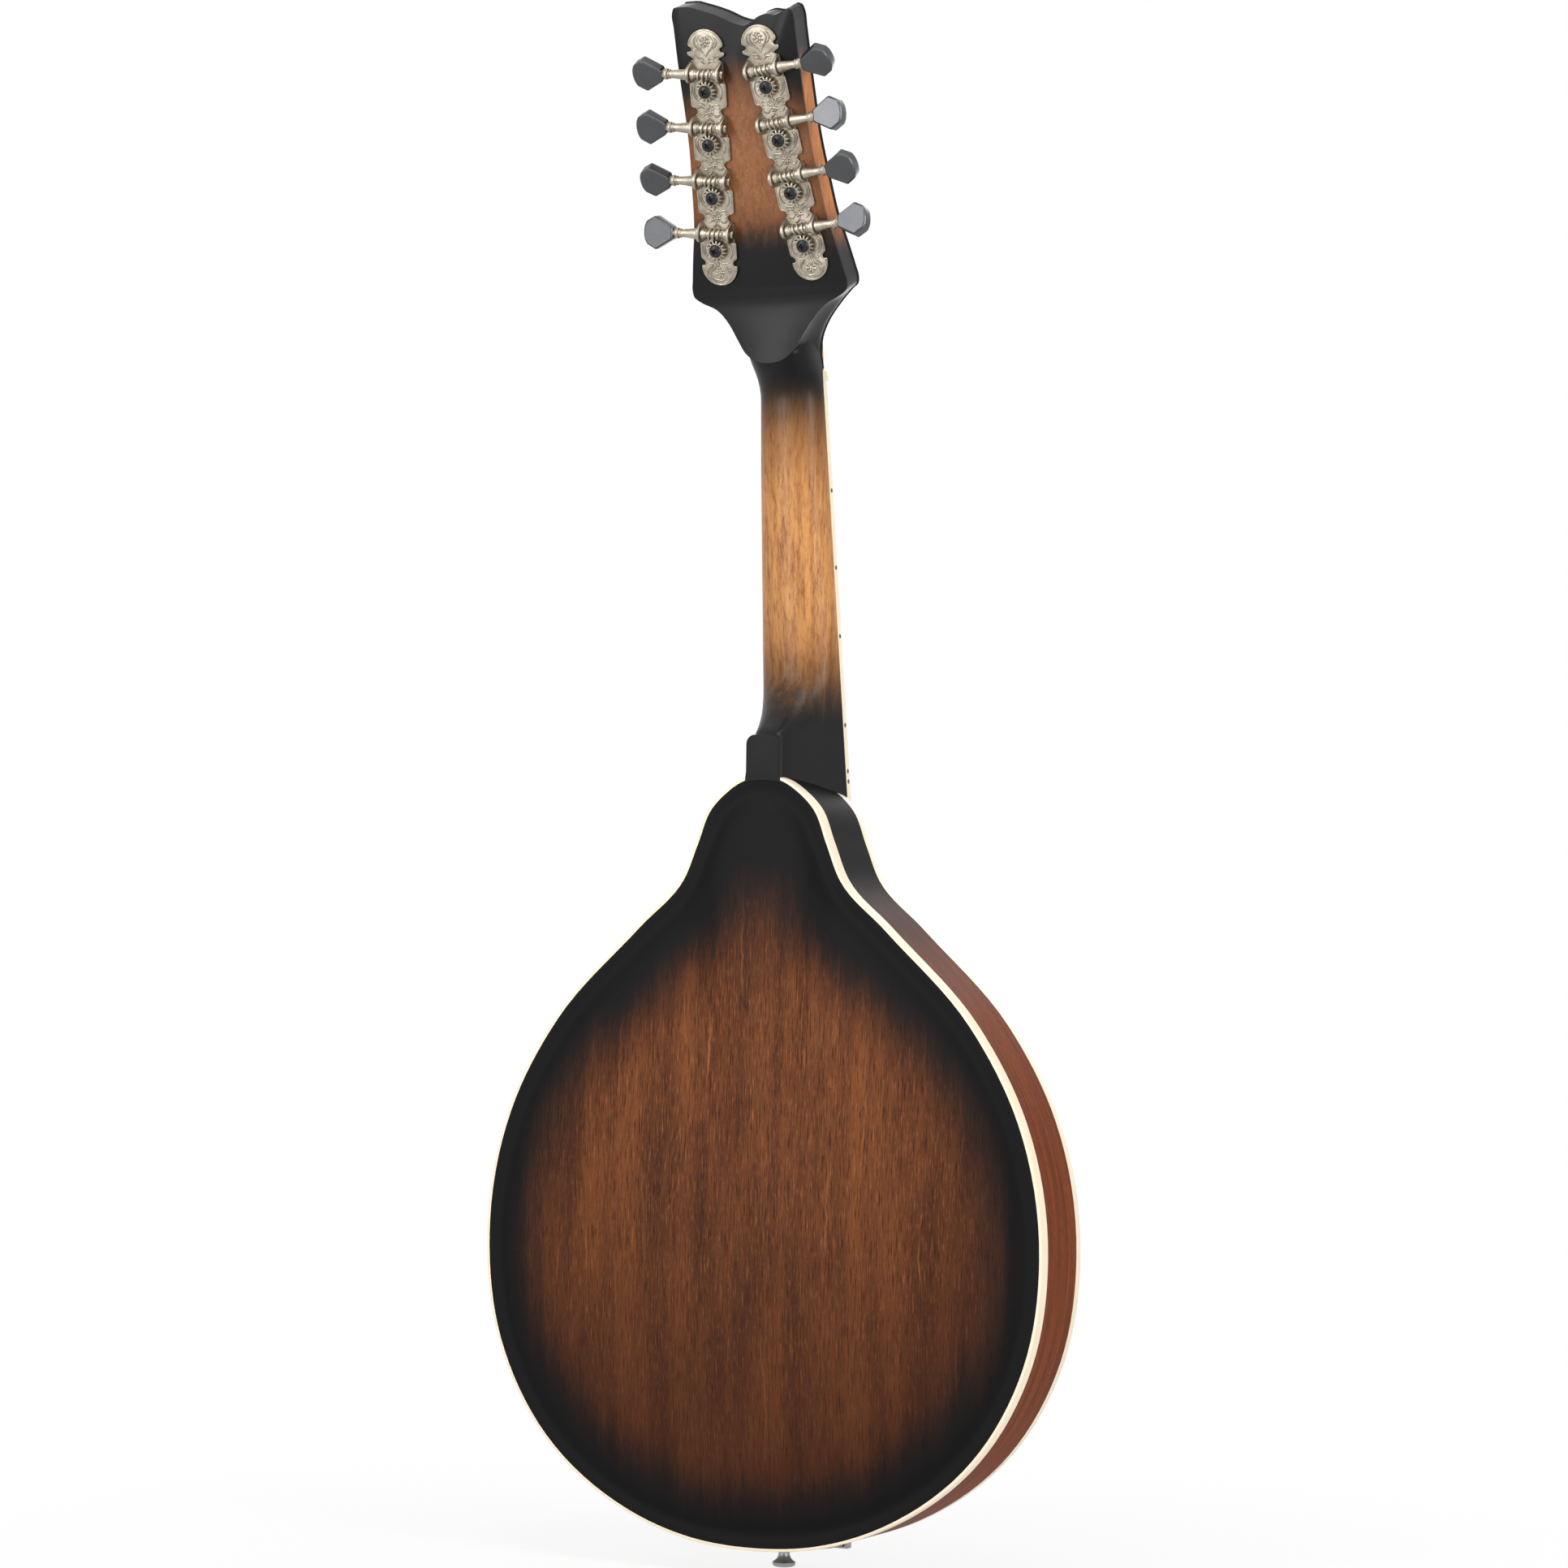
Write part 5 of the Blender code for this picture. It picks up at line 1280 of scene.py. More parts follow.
def build_headstock_face(layout):
    """Black face veneer, truss rod cover and post bushings."""
    head = layout.head_frame()
    outline = head_outline([(0.0, 6.2), (14.1, 6.2)] + HEAD_FLARE[2:], 2)
    rings = [(layout.head_face + 0.02, 0.0), (layout.overlay_face + 0.35, 0.0),
             (layout.overlay_face + 0.1, 0.1), (layout.overlay_face, 0.4)]
    face = loft("face_veneer", [flat(inset(outline, away), level) for level, away in rings])
    settle(face, "black", "black_veneer", "headstock_overlay", place=head, crease=30)
    level = layout.overlay_face
    wide = [(0.0, 35.0), (3.2, 32.4), (6.0, 25.4), (8.6, 15.4), (8.0, 7.6)]
    narrow = [(0.0, 33.2), (2.5, 31.4), (5.0, 24.9), (7.55, 15.2), (7.0, 8.6)]
    for name, corners, low, high, finish, slot, nodes in (
            ("cover_edge", wide, level - 0.9, level, "cream", "cream_binding", ()),
            ("rod_cover", narrow, level - 1.9, level - 0.8, "black", "black_veneer", ("truss_rod_cover",))):
        piece = slab(name, mirrored([tuple(point) for point in through(corners, 6)]), low, high)
        bevel(piece, 0.35, 3, 40)
        settle(piece, finish, slot, *nodes, place=head, crease=30)
    screw = build_screw("cover_screw", 1.7, 0.7)
    screws = []
    for up in (11.5, 29.0):
        screws.append(copied(screw, f"cover_screw_{up:.0f}", Matrix.Translation((0, up, level - 1.9))
                             @ Matrix.Rotation(math.pi, 4, "X")))
    discard(screw)
    settle(joined("rod_cover_screws", screws), "black_steel", "steel", place=head, crease=35)
    ring = turn("ring", [(0.4, 5.0), (-0.5, 5.0), (-1.0, 4.6), (-1.2, 3.9), (-1.2, 3.25), (0.2, 3.2)], 40)
    rings = []
    for side, index, _ in TUNERS:
        matrix = layout.world.inverted() @ layout.tuner_frame(side, index)
        rings.append(copied(ring, "bushing", matrix @ Matrix.Translation((0, 0, level))))
    discard(ring)
    settle(joined("post_bushings", rings), "nickel", "nickel", place=layout.world, crease=35)


def build_screw(name, radius, tall, arm=0.62, slot_wide=0.26):
    """A domed screw head with a cross recess, its face towards +Z."""
    profile = [(-0.6, radius * 0.9), (0.0, radius), (tall * 0.35, radius), (tall * 0.7, radius * 0.86),
               (tall * 0.92, radius * 0.6), (tall, radius * 0.3)]
    head = turn(name, profile, 28)
    reach, wide = radius * arm, radius * slot_wide / 2
    thin = wide * 0.8
    cross = [(wide, wide), (reach, thin), (reach, -thin), (wide, -wide), (thin, -reach), (-thin, -reach),
             (-wide, -wide), (-reach, -thin), (-reach, thin), (-wide, wide), (-thin, reach), (thin, reach)]
    narrow = [(x * 0.55, y * 0.55) for x, y in cross]
    return combine(head, loft("cross", [flat(narrow, tall * 0.2), flat(cross, tall + 0.3)]), "DIFFERENCE")


# Tuners

def plate_outline(pitch):
    """Outline of a plate of four, treble half first, from its tip down."""
    half = arc((0, 17.6), 8.3, 90, 12, 14)
    half += [(7.6, 18.4), (6.9, 18.2), (6.3, 17.4), (6.5, 16.7), (7.3, 16.3), (8.3, 16.2), (8.6, 15.5),
             (8.1, 14.7), (6.9, 14.2), (5.7, 13.4), (6.1, 12.8), (7.6, 12.2)]
    for index in range(4):
        low = -index * pitch
        half += [(7.6, low + 4.3), (7.8, low + 3.5)]
        half += arc((7.0, low + 2.2), 1.3, 80, 0, 4)
        if index < 3:
            half += arc((7.0, low - 6.0), 1.3, 0, -85, 5)
            half += [(6.2, low - 7.6), (5.5, low - 8.3), (5.3, low - 9.2), (5.7, low - 10.1),
                     (6.6, low - 10.6), (7.6, low - 11.2)]
    low = -3 * pitch
    half += arc((7.0, low - 3.2), 1.3, 0, -75, 4)
    half += [(6.6, low - 5.2), (6.3, low - 6.2), (6.9, low - 7.0), (7.6, low - 7.0)]
    half += arc((0, low - 7.4), 8.2, 2, -90, 13)[:-1]
    return mirrored([(0.0, 25.9)] + half[1:] + [(0.0, low - 15.6)])


def stroke(path, thick, level, mirror=False):
    """An engraved line that stands a little out of a plate, thin at both ends."""
    line = through(path, 5)
    if mirror:
        line = [Vector((-point.x, point.y)) for point in line]
    radii = [thick * (0.35 + 0.65 * math.sin(math.pi * (k + 0.5) / len(line))) for k in range(len(line))]
    return tube("stroke", [(point.x, point.y, level) for point in line], radii, 6)


def rosette(level, centre, size=1.0):
    """A small rose: a domed bud, and two rings of petals round it."""
    bud = [(height, radius * size) for height, radius in ((0, 0.75), (0.6, 0.7), (0.85, 0.45), (0.92, 0.2))]
    parts = [seat(turn("bud", bud, 14), Matrix.Translation((*centre, level)))]
    fresh()
    bpy.ops.mesh.primitive_uv_sphere_add(segments=10, ring_count=6, radius=1.0)
    petal = seat(bpy.context.object, Matrix.Diagonal((0.62 * size, 0.85 * size, 0.42, 1)))
    for count, away, tall, lean in ((5, 1.0, 0.3, 0.5), (7, 1.85, 0.08, 0.25)):
        for way in ways_round(count, 0.5):
            spot = Matrix.Translation((*centre, level + tall)) @ Matrix.Rotation(way, 4, "Z")
            spot = spot @ Matrix.Translation((away * size, 0, 0)) @ Matrix.Rotation(lean, 4, "Z")
            parts.append(copied(petal, "petal", spot @ Matrix.Rotation(-0.35, 4, "Y")))
    discard(petal)
    return parts


def build_ear(layout):
    """One folded ear round the worm's shaft, standing across u = 0."""
    tuner = layout.tuner
    centre = (tuner.worm_up, layout.worm_level)
    base = layout.plate_top - 0.6
    outline = [(3.5, base), (3.3, layout.plate_top + 0.6)]
    outline += arc(centre, EAR_ROUND, 178, 38, 14)
    outline += [(11.6, layout.plate_top + 1.9), (12.3, layout.plate_top + 0.4), (12.5, base)]
    ear = bar("ear", outline, 0.0, EAR_THICK)
    bevel(ear, 0.38, 4, 40)
    hole = turn("hole", [(-1.0, tuner.core + 0.25), (3.0, tuner.core + 0.25)], 24)
    seat(hole, Matrix.Translation((0, *centre)) @ Matrix.Rotation(math.pi / 2, 4, "Y"))
    return combine(ear, hole, "DIFFERENCE")


def engrave(lines, thick, top, mirrored_too=False):
    """Raised lines on a plate's face, and flat dark sheets beside them: patina with painted shade."""
    raised, patina_shades = [], []
    pressed = Matrix.Translation((0, 0, top + 0.005)) @ Matrix.Diagonal((1, 1, 0.05, 1))
    for mirror in ((False, True) if mirrored_too else (False,)):
        for path in lines:
            raised.append(stroke(path, thick, top + 0.04, mirror))
            # Patina and painted shade: a wider, flattened dark copy of the line lies on the plate under it
            patina_shades.append(seat(stroke(path, thick * 1.75, 0.0, mirror), pressed))
    return raised, patina_shades


def build_plates_of_four(layout):
    """Both tuner plates, with their ears, rims, scrolls and roses."""
    tuner = layout.tuner
    pitch, top = tuner.pitch, layout.plate_top
    outline = plate_outline(pitch)
    plate = slab("plate", outline, layout.head_rear - 0.02, top)
    bevel(plate, 0.3, 3, 45)
    for index in range(4):
        hole = turn("post_hole", [(layout.head_rear - 2, 3.2), (top + 2, 3.2)], 24)
        combine(plate, seat(hole, Matrix.Translation((0, -index * pitch, 0))), "DIFFERENCE")
    bead = inset(outline, 0.5)
    bead = tube("bead", [(u, v, top) for u, v in bead + bead[:2]], 0.24, 6)
    parts, patina_shades = [plate, bead], []
    ear = build_ear(layout)
    for index in range(4):
        for start in EAR_PLACES:
            parts.append(copied(ear, "ear_copy", Matrix.Translation((start, -index * pitch, 0))))
    discard(ear)
    scrolls = [[(1.6, 0.5), (2.5, 1.7), (4.0, 2.0), (5.1, 1.2), (4.9, 0.2), (4.1, 0.1)],
               [(1.7, -0.7), (2.8, -1.7), (4.2, -1.6), (4.9, -0.7)],
               [(1.0, 1.5), (2.2, 3.0), (4.0, 3.4), (5.4, 2.7)],
               [(0.2, 2.0), (0.8, 3.4), (0.3, 4.6)],
               [(0.0, -2.2), (0.9, -3.4), (2.4, -3.8)]]
    unit, dark = engrave(scrolls, 0.26, top, True)
    unit = joined("unit", unit + rosette(top - 0.05, (0, 0), 0.8))
    dark = joined("dark", dark)
    for index in range(3):
        place = Matrix.Translation((0, -index * pitch - 9.2, 0))
        parts.append(copied(unit, "scroll", place))
        patina_shades.append(copied(dark, "scroll_dark", place))
    discard(unit, dark)
    shells = [[(5.6, 3.2), (6.9, 2.0), (7.2, 0.0), (6.8, -2.0), (5.6, -3.8), (4.0, -4.9)],
              [(5.2, 2.6), (6.1, 1.4), (6.3, -0.3), (5.8, -2.0), (4.8, -3.3)],
              [(-5.2, 2.8), (-6.3, 1.4), (-6.7, -0.6), (-6.3, -2.6), (-5.2, -4.2)],
              [(-4.8, -5.2), (-3.2, -5.9), (-1.4, -5.9), (0.0, -5.2)],
              [(5.6, -5.4), (4.2, -6.1), (2.4, -6.1)]]
    shell, dark = engrave(shells, 0.24, top)
    shell, dark = joined("shell", shell), joined("dark", dark)
    for index in range(4):
        place = Matrix.Translation((0, -index * pitch, 0))
        parts.append(copied(shell, "shell_copy", place))
        patina_shades.append(copied(dark, "shell_dark", place))
    discard(shell, dark)
    lobe, dark = engrave([[(0.0, 14.2), (1.3, 16.2), (2.9, 18.0), (3.8, 20.2), (3.2, 22.2), (1.6, 23.4)],
                          [(3.4, 17.6), (4.9, 19.2), (5.0, 21.2), (4.0, 22.8)],
                          [(0.9, 12.6), (2.0, 13.6), (3.5, 13.7), (4.9, 14.6), (6.8, 15.3)],
                          [(0.8, 11.2), (2.4, 12.4), (4.4, 12.2)]], 0.27, top, True)
    parts += lobe + rosette(top - 0.05, (0, 20.6), 1.05)
    patina_shades += dark
    low = -3 * pitch
    foot, dark = engrave([[(3.4, low - 4.8), (1.4, low - 6.6), (2.2, low - 8.4), (4.0, low - 9.8),
                           (4.0, low - 12.0)],
                          [(4.6, low - 5.4), (3.0, low - 7.0), (4.6, low - 8.6), (5.6, low - 10.2),
                           (5.0, low - 12.2)],
                          [(2.4, low - 4.6), (0.2, low - 6.4), (0.8, low - 8.0)],
                          [(-2.0, low - 5.4), (-3.2, low - 7.6), (-4.4, low - 8.6), (-4.6, low - 10.4)],
                          [(-6.2, low - 10.4), (-4.6, low - 12.8), (-2.2, low - 14.1), (0.0, low - 14.4)],
                          [(6.2, low - 10.4), (4.6, low - 12.8), (2.2, low - 14.1), (0.0, low - 14.4)],
                          [(-3.4, low - 11.6), (-1.8, low - 13.0), (0.4, low - 13.2),
                           (2.6, low - 12.6)]], 0.27, top)
    parts += foot + rosette(top - 0.05, (0.0, low - 10.0), 0.95)
    patina_shades += dark
    whole, dark = joined("plate_whole", parts), joined("plate_dark", patina_shades)
    for side, name in SIDES:
        piece = copied(whole, f"tuner_row_{name}", layout.tuner_frame(side))
        settle(piece, "nickel", "nickel", f"tuner_plate_{name}", crease=32)
        piece = copied(dark, f"tuner_hollows_{name}", layout.tuner_frame(side))
        # The flat dark sheets: patina with painted shade
        settle(piece, "dark_nickel", "nickel", crease=32)
    discard(whole, dark)


def gear_outline(tuner, tip, root):
    """A gear's outline with narrow, pointed teeth."""
    outline = []
    for k in range(tuner.teeth):
        for share, radius in ((-0.5, root), (-0.32, root), (-0.13, tip), (0.13, tip), (0.32, root)):
            way = 2 * math.pi * (k + share) / tuner.teeth
            outline.append((radius * math.cos(way), radius * math.sin(way)))
    return outline


def build_gears(layout):
    """Eight gears on their posts, with black cross-head screws."""
    tuner = layout.tuner
    low, top = layout.gear_low, layout.gear_top
    tip, root = tuner.gear_tip, tuner.gear_root
    rows = ((low, tip - 0.35, root), (low + 0.5, tip, root), (top - 0.9, tip, root),
            (top - 0.55, tip - 0.5, root - 0.1), (top - 0.5, root + 0.05, root - 0.15))
    gear = loft("gear", [flat(gear_outline(tuner, far, near), level) for level, far, near in rows])
    boss = turn("boss", [(low, 3.3), (top - 0.5, 3.32), (top - 0.12, 3.2), (top, 3.02), (top, 2.8),
                         (top - 0.3, 2.7)], 40)
    middle = layout.overlay_face - POST_MIDDLE
    post_end = middle - POST_MIDDLE
    post = turn("post", [(post_end, 2.2), (post_end + 0.4, 2.6), (middle - 1.9, 2.75), (middle - 1.2, 2.35),
                         (middle, 2.25), (middle + 1.2, 2.35), (middle + 1.9, 2.95), (top - 0.2, 3.0)], 32)
    hole = turn("hole", [(-4, 0.65), (4, 0.65)], 16)
    seat(hole, Matrix.Translation((0, 0, middle)) @ Matrix.Rotation(math.pi / 2, 4, "X"))
    combine(post, hole, "DIFFERENCE")
    whole = joined("gear_whole", [gear, boss, post])
    screw = seat(build_screw("screw", 2.75, 1.35, 0.6, 0.3), Matrix.Translation((0, 0, top - 0.02)))
    for side, index, label in TUNERS:
        matrix = layout.tuner_frame(side, index)
        piece = copied(whole, f"gear_{label}", matrix)
        settle(piece, "nickel", "nickel", f"gear_post_{label}", body=f"post_{label}", crease=30)
        spun = matrix @ Matrix.Rotation(0.5 * index + (0.4 if side > 0 else 0.0), 4, "Z")
        piece = copied(screw, f"gear_screw_{label}", spun)
        settle(piece, "black_steel", "steel", body=f"post_{label}", crease=30)
    discard(whole, screw)


def build_worms(layout):
    """Eight worms with their shafts and collars."""
    tuner = layout.tuner
    lead, turns = 2.1, 2.9
    start = -lead * turns / 2
    rings = []
    stations = 60
    for k in range(stations + 1):
        u = start - 0.7 + (lead * turns + 1.4) * k / stations
        ends = soft_step((lead * turns / 2 + 0.5 - abs(u)) / 0.9)
        ring = []
        for way in ways_round(24):
            phase = (u / lead - way / (2 * math.pi)) % 1.0
            ridge = soft_step(1.75 - abs(phase - 0.5) * 5.2)
            radius = tuner.core + (tuner.worm - tuner.core) * ridge * ends
            ring.append(Vector((radius * math.cos(way), radius * math.sin(way), u)))
        rings.append(ring)
    thread = loft("thread", rings)
    inner = turn("inner", [(-8.9, 1.1), (-8.7, 1.6), (-8.1, 1.85), (-7.75, 1.8), (-7.7, 1.5), (-6.1, 1.5),
                           (-6.05, 2.2), (-5.8, 2.45), (-4.9, 2.5), (-4.6, 2.3), (-4.3, 2.0), (-3.9, 2.2),
                           (-3.5, 1.9), (-3.3, 1.5)], 32)
    outer = turn("outer", [(3.3, 1.5), (3.5, 1.9), (3.9, 2.2), (4.3, 2.0), (4.6, 2.3), (4.9, 2.5),
                           (5.8, 2.45), (6.05, 2.2), (6.1, 1.5), (7.75, 1.5), (7.8, 2.4), (8.0, 2.5),
                           (8.5, 2.48), (9.2, 2.38), (12.0, 2.0), (14.6, 1.75), (15.3, 1.75), (15.45, 2.0),
                           (15.8, 2.05), (16.05, 1.8), (16.4, 1.8), (16.6, 2.25), (17.1, 2.4), (17.8, 2.35),
                           (18.3, 2.1), (19.4, 2.05)], 40)
    whole = joined("worm_whole", [thread, inner, outer])
    lie = Matrix.Translation((0, tuner.worm_up, layout.worm_level)) @ Matrix.Rotation(math.pi / 2, 4, "Y")
    for side, index, label in TUNERS:
        piece = copied(whole, f"worm_{label}", layout.tuner_frame(side, index) @ lie)
        settle(piece, "nickel", "nickel", f"worm_shaft_{label}", body=f"button_{label}", crease=35)
    discard(whole)


def build_buttons(layout):
    """Eight six-sided buttons with chamfered faces."""
    tuner = layout.tuner
    long, thick = tuner.button_long, tuner.button_thick
    corners = [(0, 0.0), (0, 2.2), (0.5, 2.8), (7.6, 6.95), (8.2, 7.07), (8.8, 6.85), (12.1, 5.0),
               (12.5, 4.5), (13.2, 3.0), (13.5, 1.5), (long, 0.0)]
    outline = list(reversed(corners + [(u, -v) for u, v in reversed(corners[1:-1])]))
    centre = Vector((7.2, 0.0))
    rings = []
    for level, away in ((-0.5, 0.8), (-0.49, 0.6), (-0.39, 0.03), (-0.37, 0.0), (0.37, 0.0), (0.39, 0.03),
                        (0.49, 0.6), (0.5, 0.8)):
        ring = []
        for u, v in outline:
            spot = Vector((u, v)) - centre
            spot = centre + spot * (1 - away / max(spot.length, 4.0))
            ring.append(Vector((spot.x, spot.y, level * thick)))
        rings.append(ring)
    button = loft("button", rings)
    bevel(button, 0.1, 2, 25)
    on_shaft = Matrix.Translation((BUTTON_START, tuner.worm_up, layout.worm_level))
    for (side, index, label), way in zip(TUNERS, BUTTON_TURNS):
        turned = Matrix.Rotation(math.radians(way), 4, "X")
        piece = copied(button, f"button_{label}", layout.tuner_frame(side, index) @ on_shaft @ turned)
        settle(piece, "satin_chrome", "satin_chrome", f"tuner_button_{label}", body=f"button_{label}",
               crease=14)
    discard(button)


# Strings, bridge and tailpiece

TAIL_METAL = 1.2
TAIL_LONG = 40.0
HOOK_OVER = 2.5
COVER_OVER = 5.4
COVER_LONG = 46.3
COVER_BELOW = 0.5


class Tail:
    """Where the tailpiece's faces are."""

    def __init__(self, layout):
        self.foot = TAIL_END - GAP
        self.low = self.foot - TAIL_METAL
        self.bend = layout.front - GAP - 3.4
        self.slope = 7.0 / (TAIL_END + TAIL_LONG - self.low)
        self.hook_z = TAIL_END + TAIL_LONG - 6.0

    def front(self, z, over=0.0):
        """y of a plane parallel to the sloping face, so far in front of it."""
        return self.bend - self.slope * (z - self.low) - over


def build_strings(layout):
    """Eight strings, hooked at the tailpiece and wound on their posts."""
    tail, bridge = Tail(layout), layout.bridge
    for number, radius in enumerate(STRING_RADII):
        side = -1 if number < 4 else 1
        index = 3 - (number if number < 4 else 7 - number)
        x_nut, x_tail = string_x(number), string_x(number, TAIL_SPREAD)
        to_body = layout.world.inverted() @ layout.tuner_frame(side, index)
        middle = layout.overlay_face - POST_MIDDLE
        start = Vector((x_tail, tail.front(tail.hook_z, HOOK_OVER), tail.hook_z))
        saddle = Vector((x_tail, bridge.y + max(STRING_RADII) - radius, bridge.z))
        over = layout.nut + Vector((x_nut, 0, 0)) - layout.down - layout.behind * (2.2 + radius)
        wrap = 2.3 + radius
        coil = []
        for k in range(40):
            way = math.pi - 0.25 + 2 * math.pi * k / 14
            level = middle - 0.9 + 2.3 * radius * k / 14
            coil.append(to_body @ Vector((wrap * math.cos(way), wrap * math.sin(way), level)))
        path = [start, start.lerp(saddle, 0.5), saddle - Vector((0, 0, 0.8)), saddle,
                saddle + Vector((0, 0, 0.8)), saddle.lerp(over, 0.5), over, over.lerp(coil[0], 0.03),
                over.lerp(coil[0], 0.5)] + coil
        piece = tube(f"wire_{number + 1}", path, radius, 10 if radius > 0.3 else 8)
        metal = "bronze" if number < 4 else "steel"
        settle(piece, metal, metal, f"string_{number + 1}", place=layout.world, crease=50)
    loops = []
    for number in range(8):
        x = string_x(number, TAIL_SPREAD)
        centre = Vector((x, tail.front(tail.hook_z - 2.2, HOOK_OVER * 0.75), tail.hook_z - 2.2))
        path = [centre + Vector((1.05 * math.sin(way), 0, 2.0 * math.cos(way)))
                for way in (2 * math.pi * k / 20 for k in range(21))]
        loops.append(tube("loop", path, 0.24, 6))
    settle(joined("string_loops", loops), "steel", "steel", place=layout.world, crease=50)


def build_bridge(layout):
    """Footed base, two studs, knurled wheels and the saddle."""
    bridge, half = layout.bridge, BASE_HALF
    saddle_face = bridge.y + max(STRING_RADII) + 0.05
    saddle_rear = bridge.y + max(STRING_RADII) + GAP + SADDLE_TALL
    base_front = saddle_rear + GAP + WHEEL_THICK + GAP + 1.4
    rings = []
    for k in range(49):
        x = half * (k / 24 - 1)
        share = abs(x) / half
        rest = min(layout.top_level(x, bridge.z + way * BASE_DEEP) for way in (-1, 0, 1)) - 0.05
        scoop = 1.6 * soft_step((0.5 - share) / 0.3) if share < 0.5 else 0.0
        face = base_front + (rest - 2.2 - base_front) * soft_step((share - 0.5) / 0.5)
        face = min(face, rest - 1.4)
        reach = BASE_DEEP * (1 - 0.3 * share ** 2)
        scoop = min(scoop, max(0.0, rest - face - 2.2))
        section = [(rest - scoop, -1), (rest - scoop, 1), (face + 1.2, 0.95), (face, 0.72), (face, -0.72),
                   (face + 1.2, -0.95)]
        rings.append([Vector((x, y, bridge.z + reach * away)) for y, away in section])
    base = loft("footed_base", rings)
    bevel(base, 0.3, 2, 35)
    settle(base, "rosewood", "rosewood", "bridge_base", place=layout.world, crease=32)
    stand = Matrix.Rotation(-math.pi / 2, 4, "X")
    studs = []
    for side in (-1, 1):
        profile = []
        level = saddle_rear - 2.8
        while level < base_front + 1.0:
            profile += [(level, 1.62), (level + 0.25, 1.42)]
            level += 0.5
        stud = turn("stud", profile, 20)
        studs.append(seat(stud, Matrix.Translation((side * STUD_AWAY, 0, bridge.z)) @ stand))
    settle(joined("bridge_studs", studs), "brass", "bronze", place=layout.world, crease=20)
    crown, deep = [], SADDLE_DEEP
    for k in range(57):
        x = SADDLE_HALF * (k / 28 - 1)
        pair = min(3, max(0, int((x + 17.5) // 8.8)))
        shift = (0.55, -0.45, 0.5, -0.2)[pair] if abs(x) < 17 else 0.0
        drop = 1.3 * soft_step((abs(x) - 26) / 8)
        face = saddle_face + drop
        section = [(saddle_rear, -deep), (saddle_rear, deep), (face + 2.6, deep), (face + 0.4, shift + 1.1),
                   (face, shift + 0.5), (face, shift - 0.5), (face + 0.4, shift - 1.1), (face + 2.6, -deep)]
        crown.append([Vector((x, y, bridge.z + away)) for y, away in section])
    saddle = loft("saddle_wood", crown)
    for number, radius in enumerate(STRING_RADII):
        x = string_x(number, TAIL_SPREAD)
        path = [(x, bridge.y + max(STRING_RADII) - radius, bridge.z + way) for way in (-deep, deep)]
        combine(saddle, tube("notch", path, radius + 0.08, 10), "DIFFERENCE")
    settle(saddle, "rosewood", "rosewood", "bridge_saddle", body="saddle", place=layout.world, crease=32)
    rings = []
    for level, share in ((0.0, 0.94), (0.25, 1.0), (WHEEL_THICK - 0.25, 1.0), (WHEEL_THICK, 0.94)):
        radii = (5.72 * share, 6.0 * share) * 36
        rings.append(flat([(radius * math.cos(way), radius * math.sin(way))
                           for way, radius in zip(ways_round(72), radii)], level))
    wheel = combine(loft("wheel", rings), turn("bore", [(-1, 1.9), (3, 1.9)], 24), "DIFFERENCE")
    for side, name in SIDES:
        spot = layout.world @ Matrix.Translation((side * STUD_AWAY, saddle_rear + GAP, bridge.z)) @ stand
        piece = copied(wheel, f"wheel_{name}", spot)
        settle(piece, "brass", "bronze", f"thumbwheel_{name}", body=f"wheel_{name}", crease=25)
    discard(wheel)


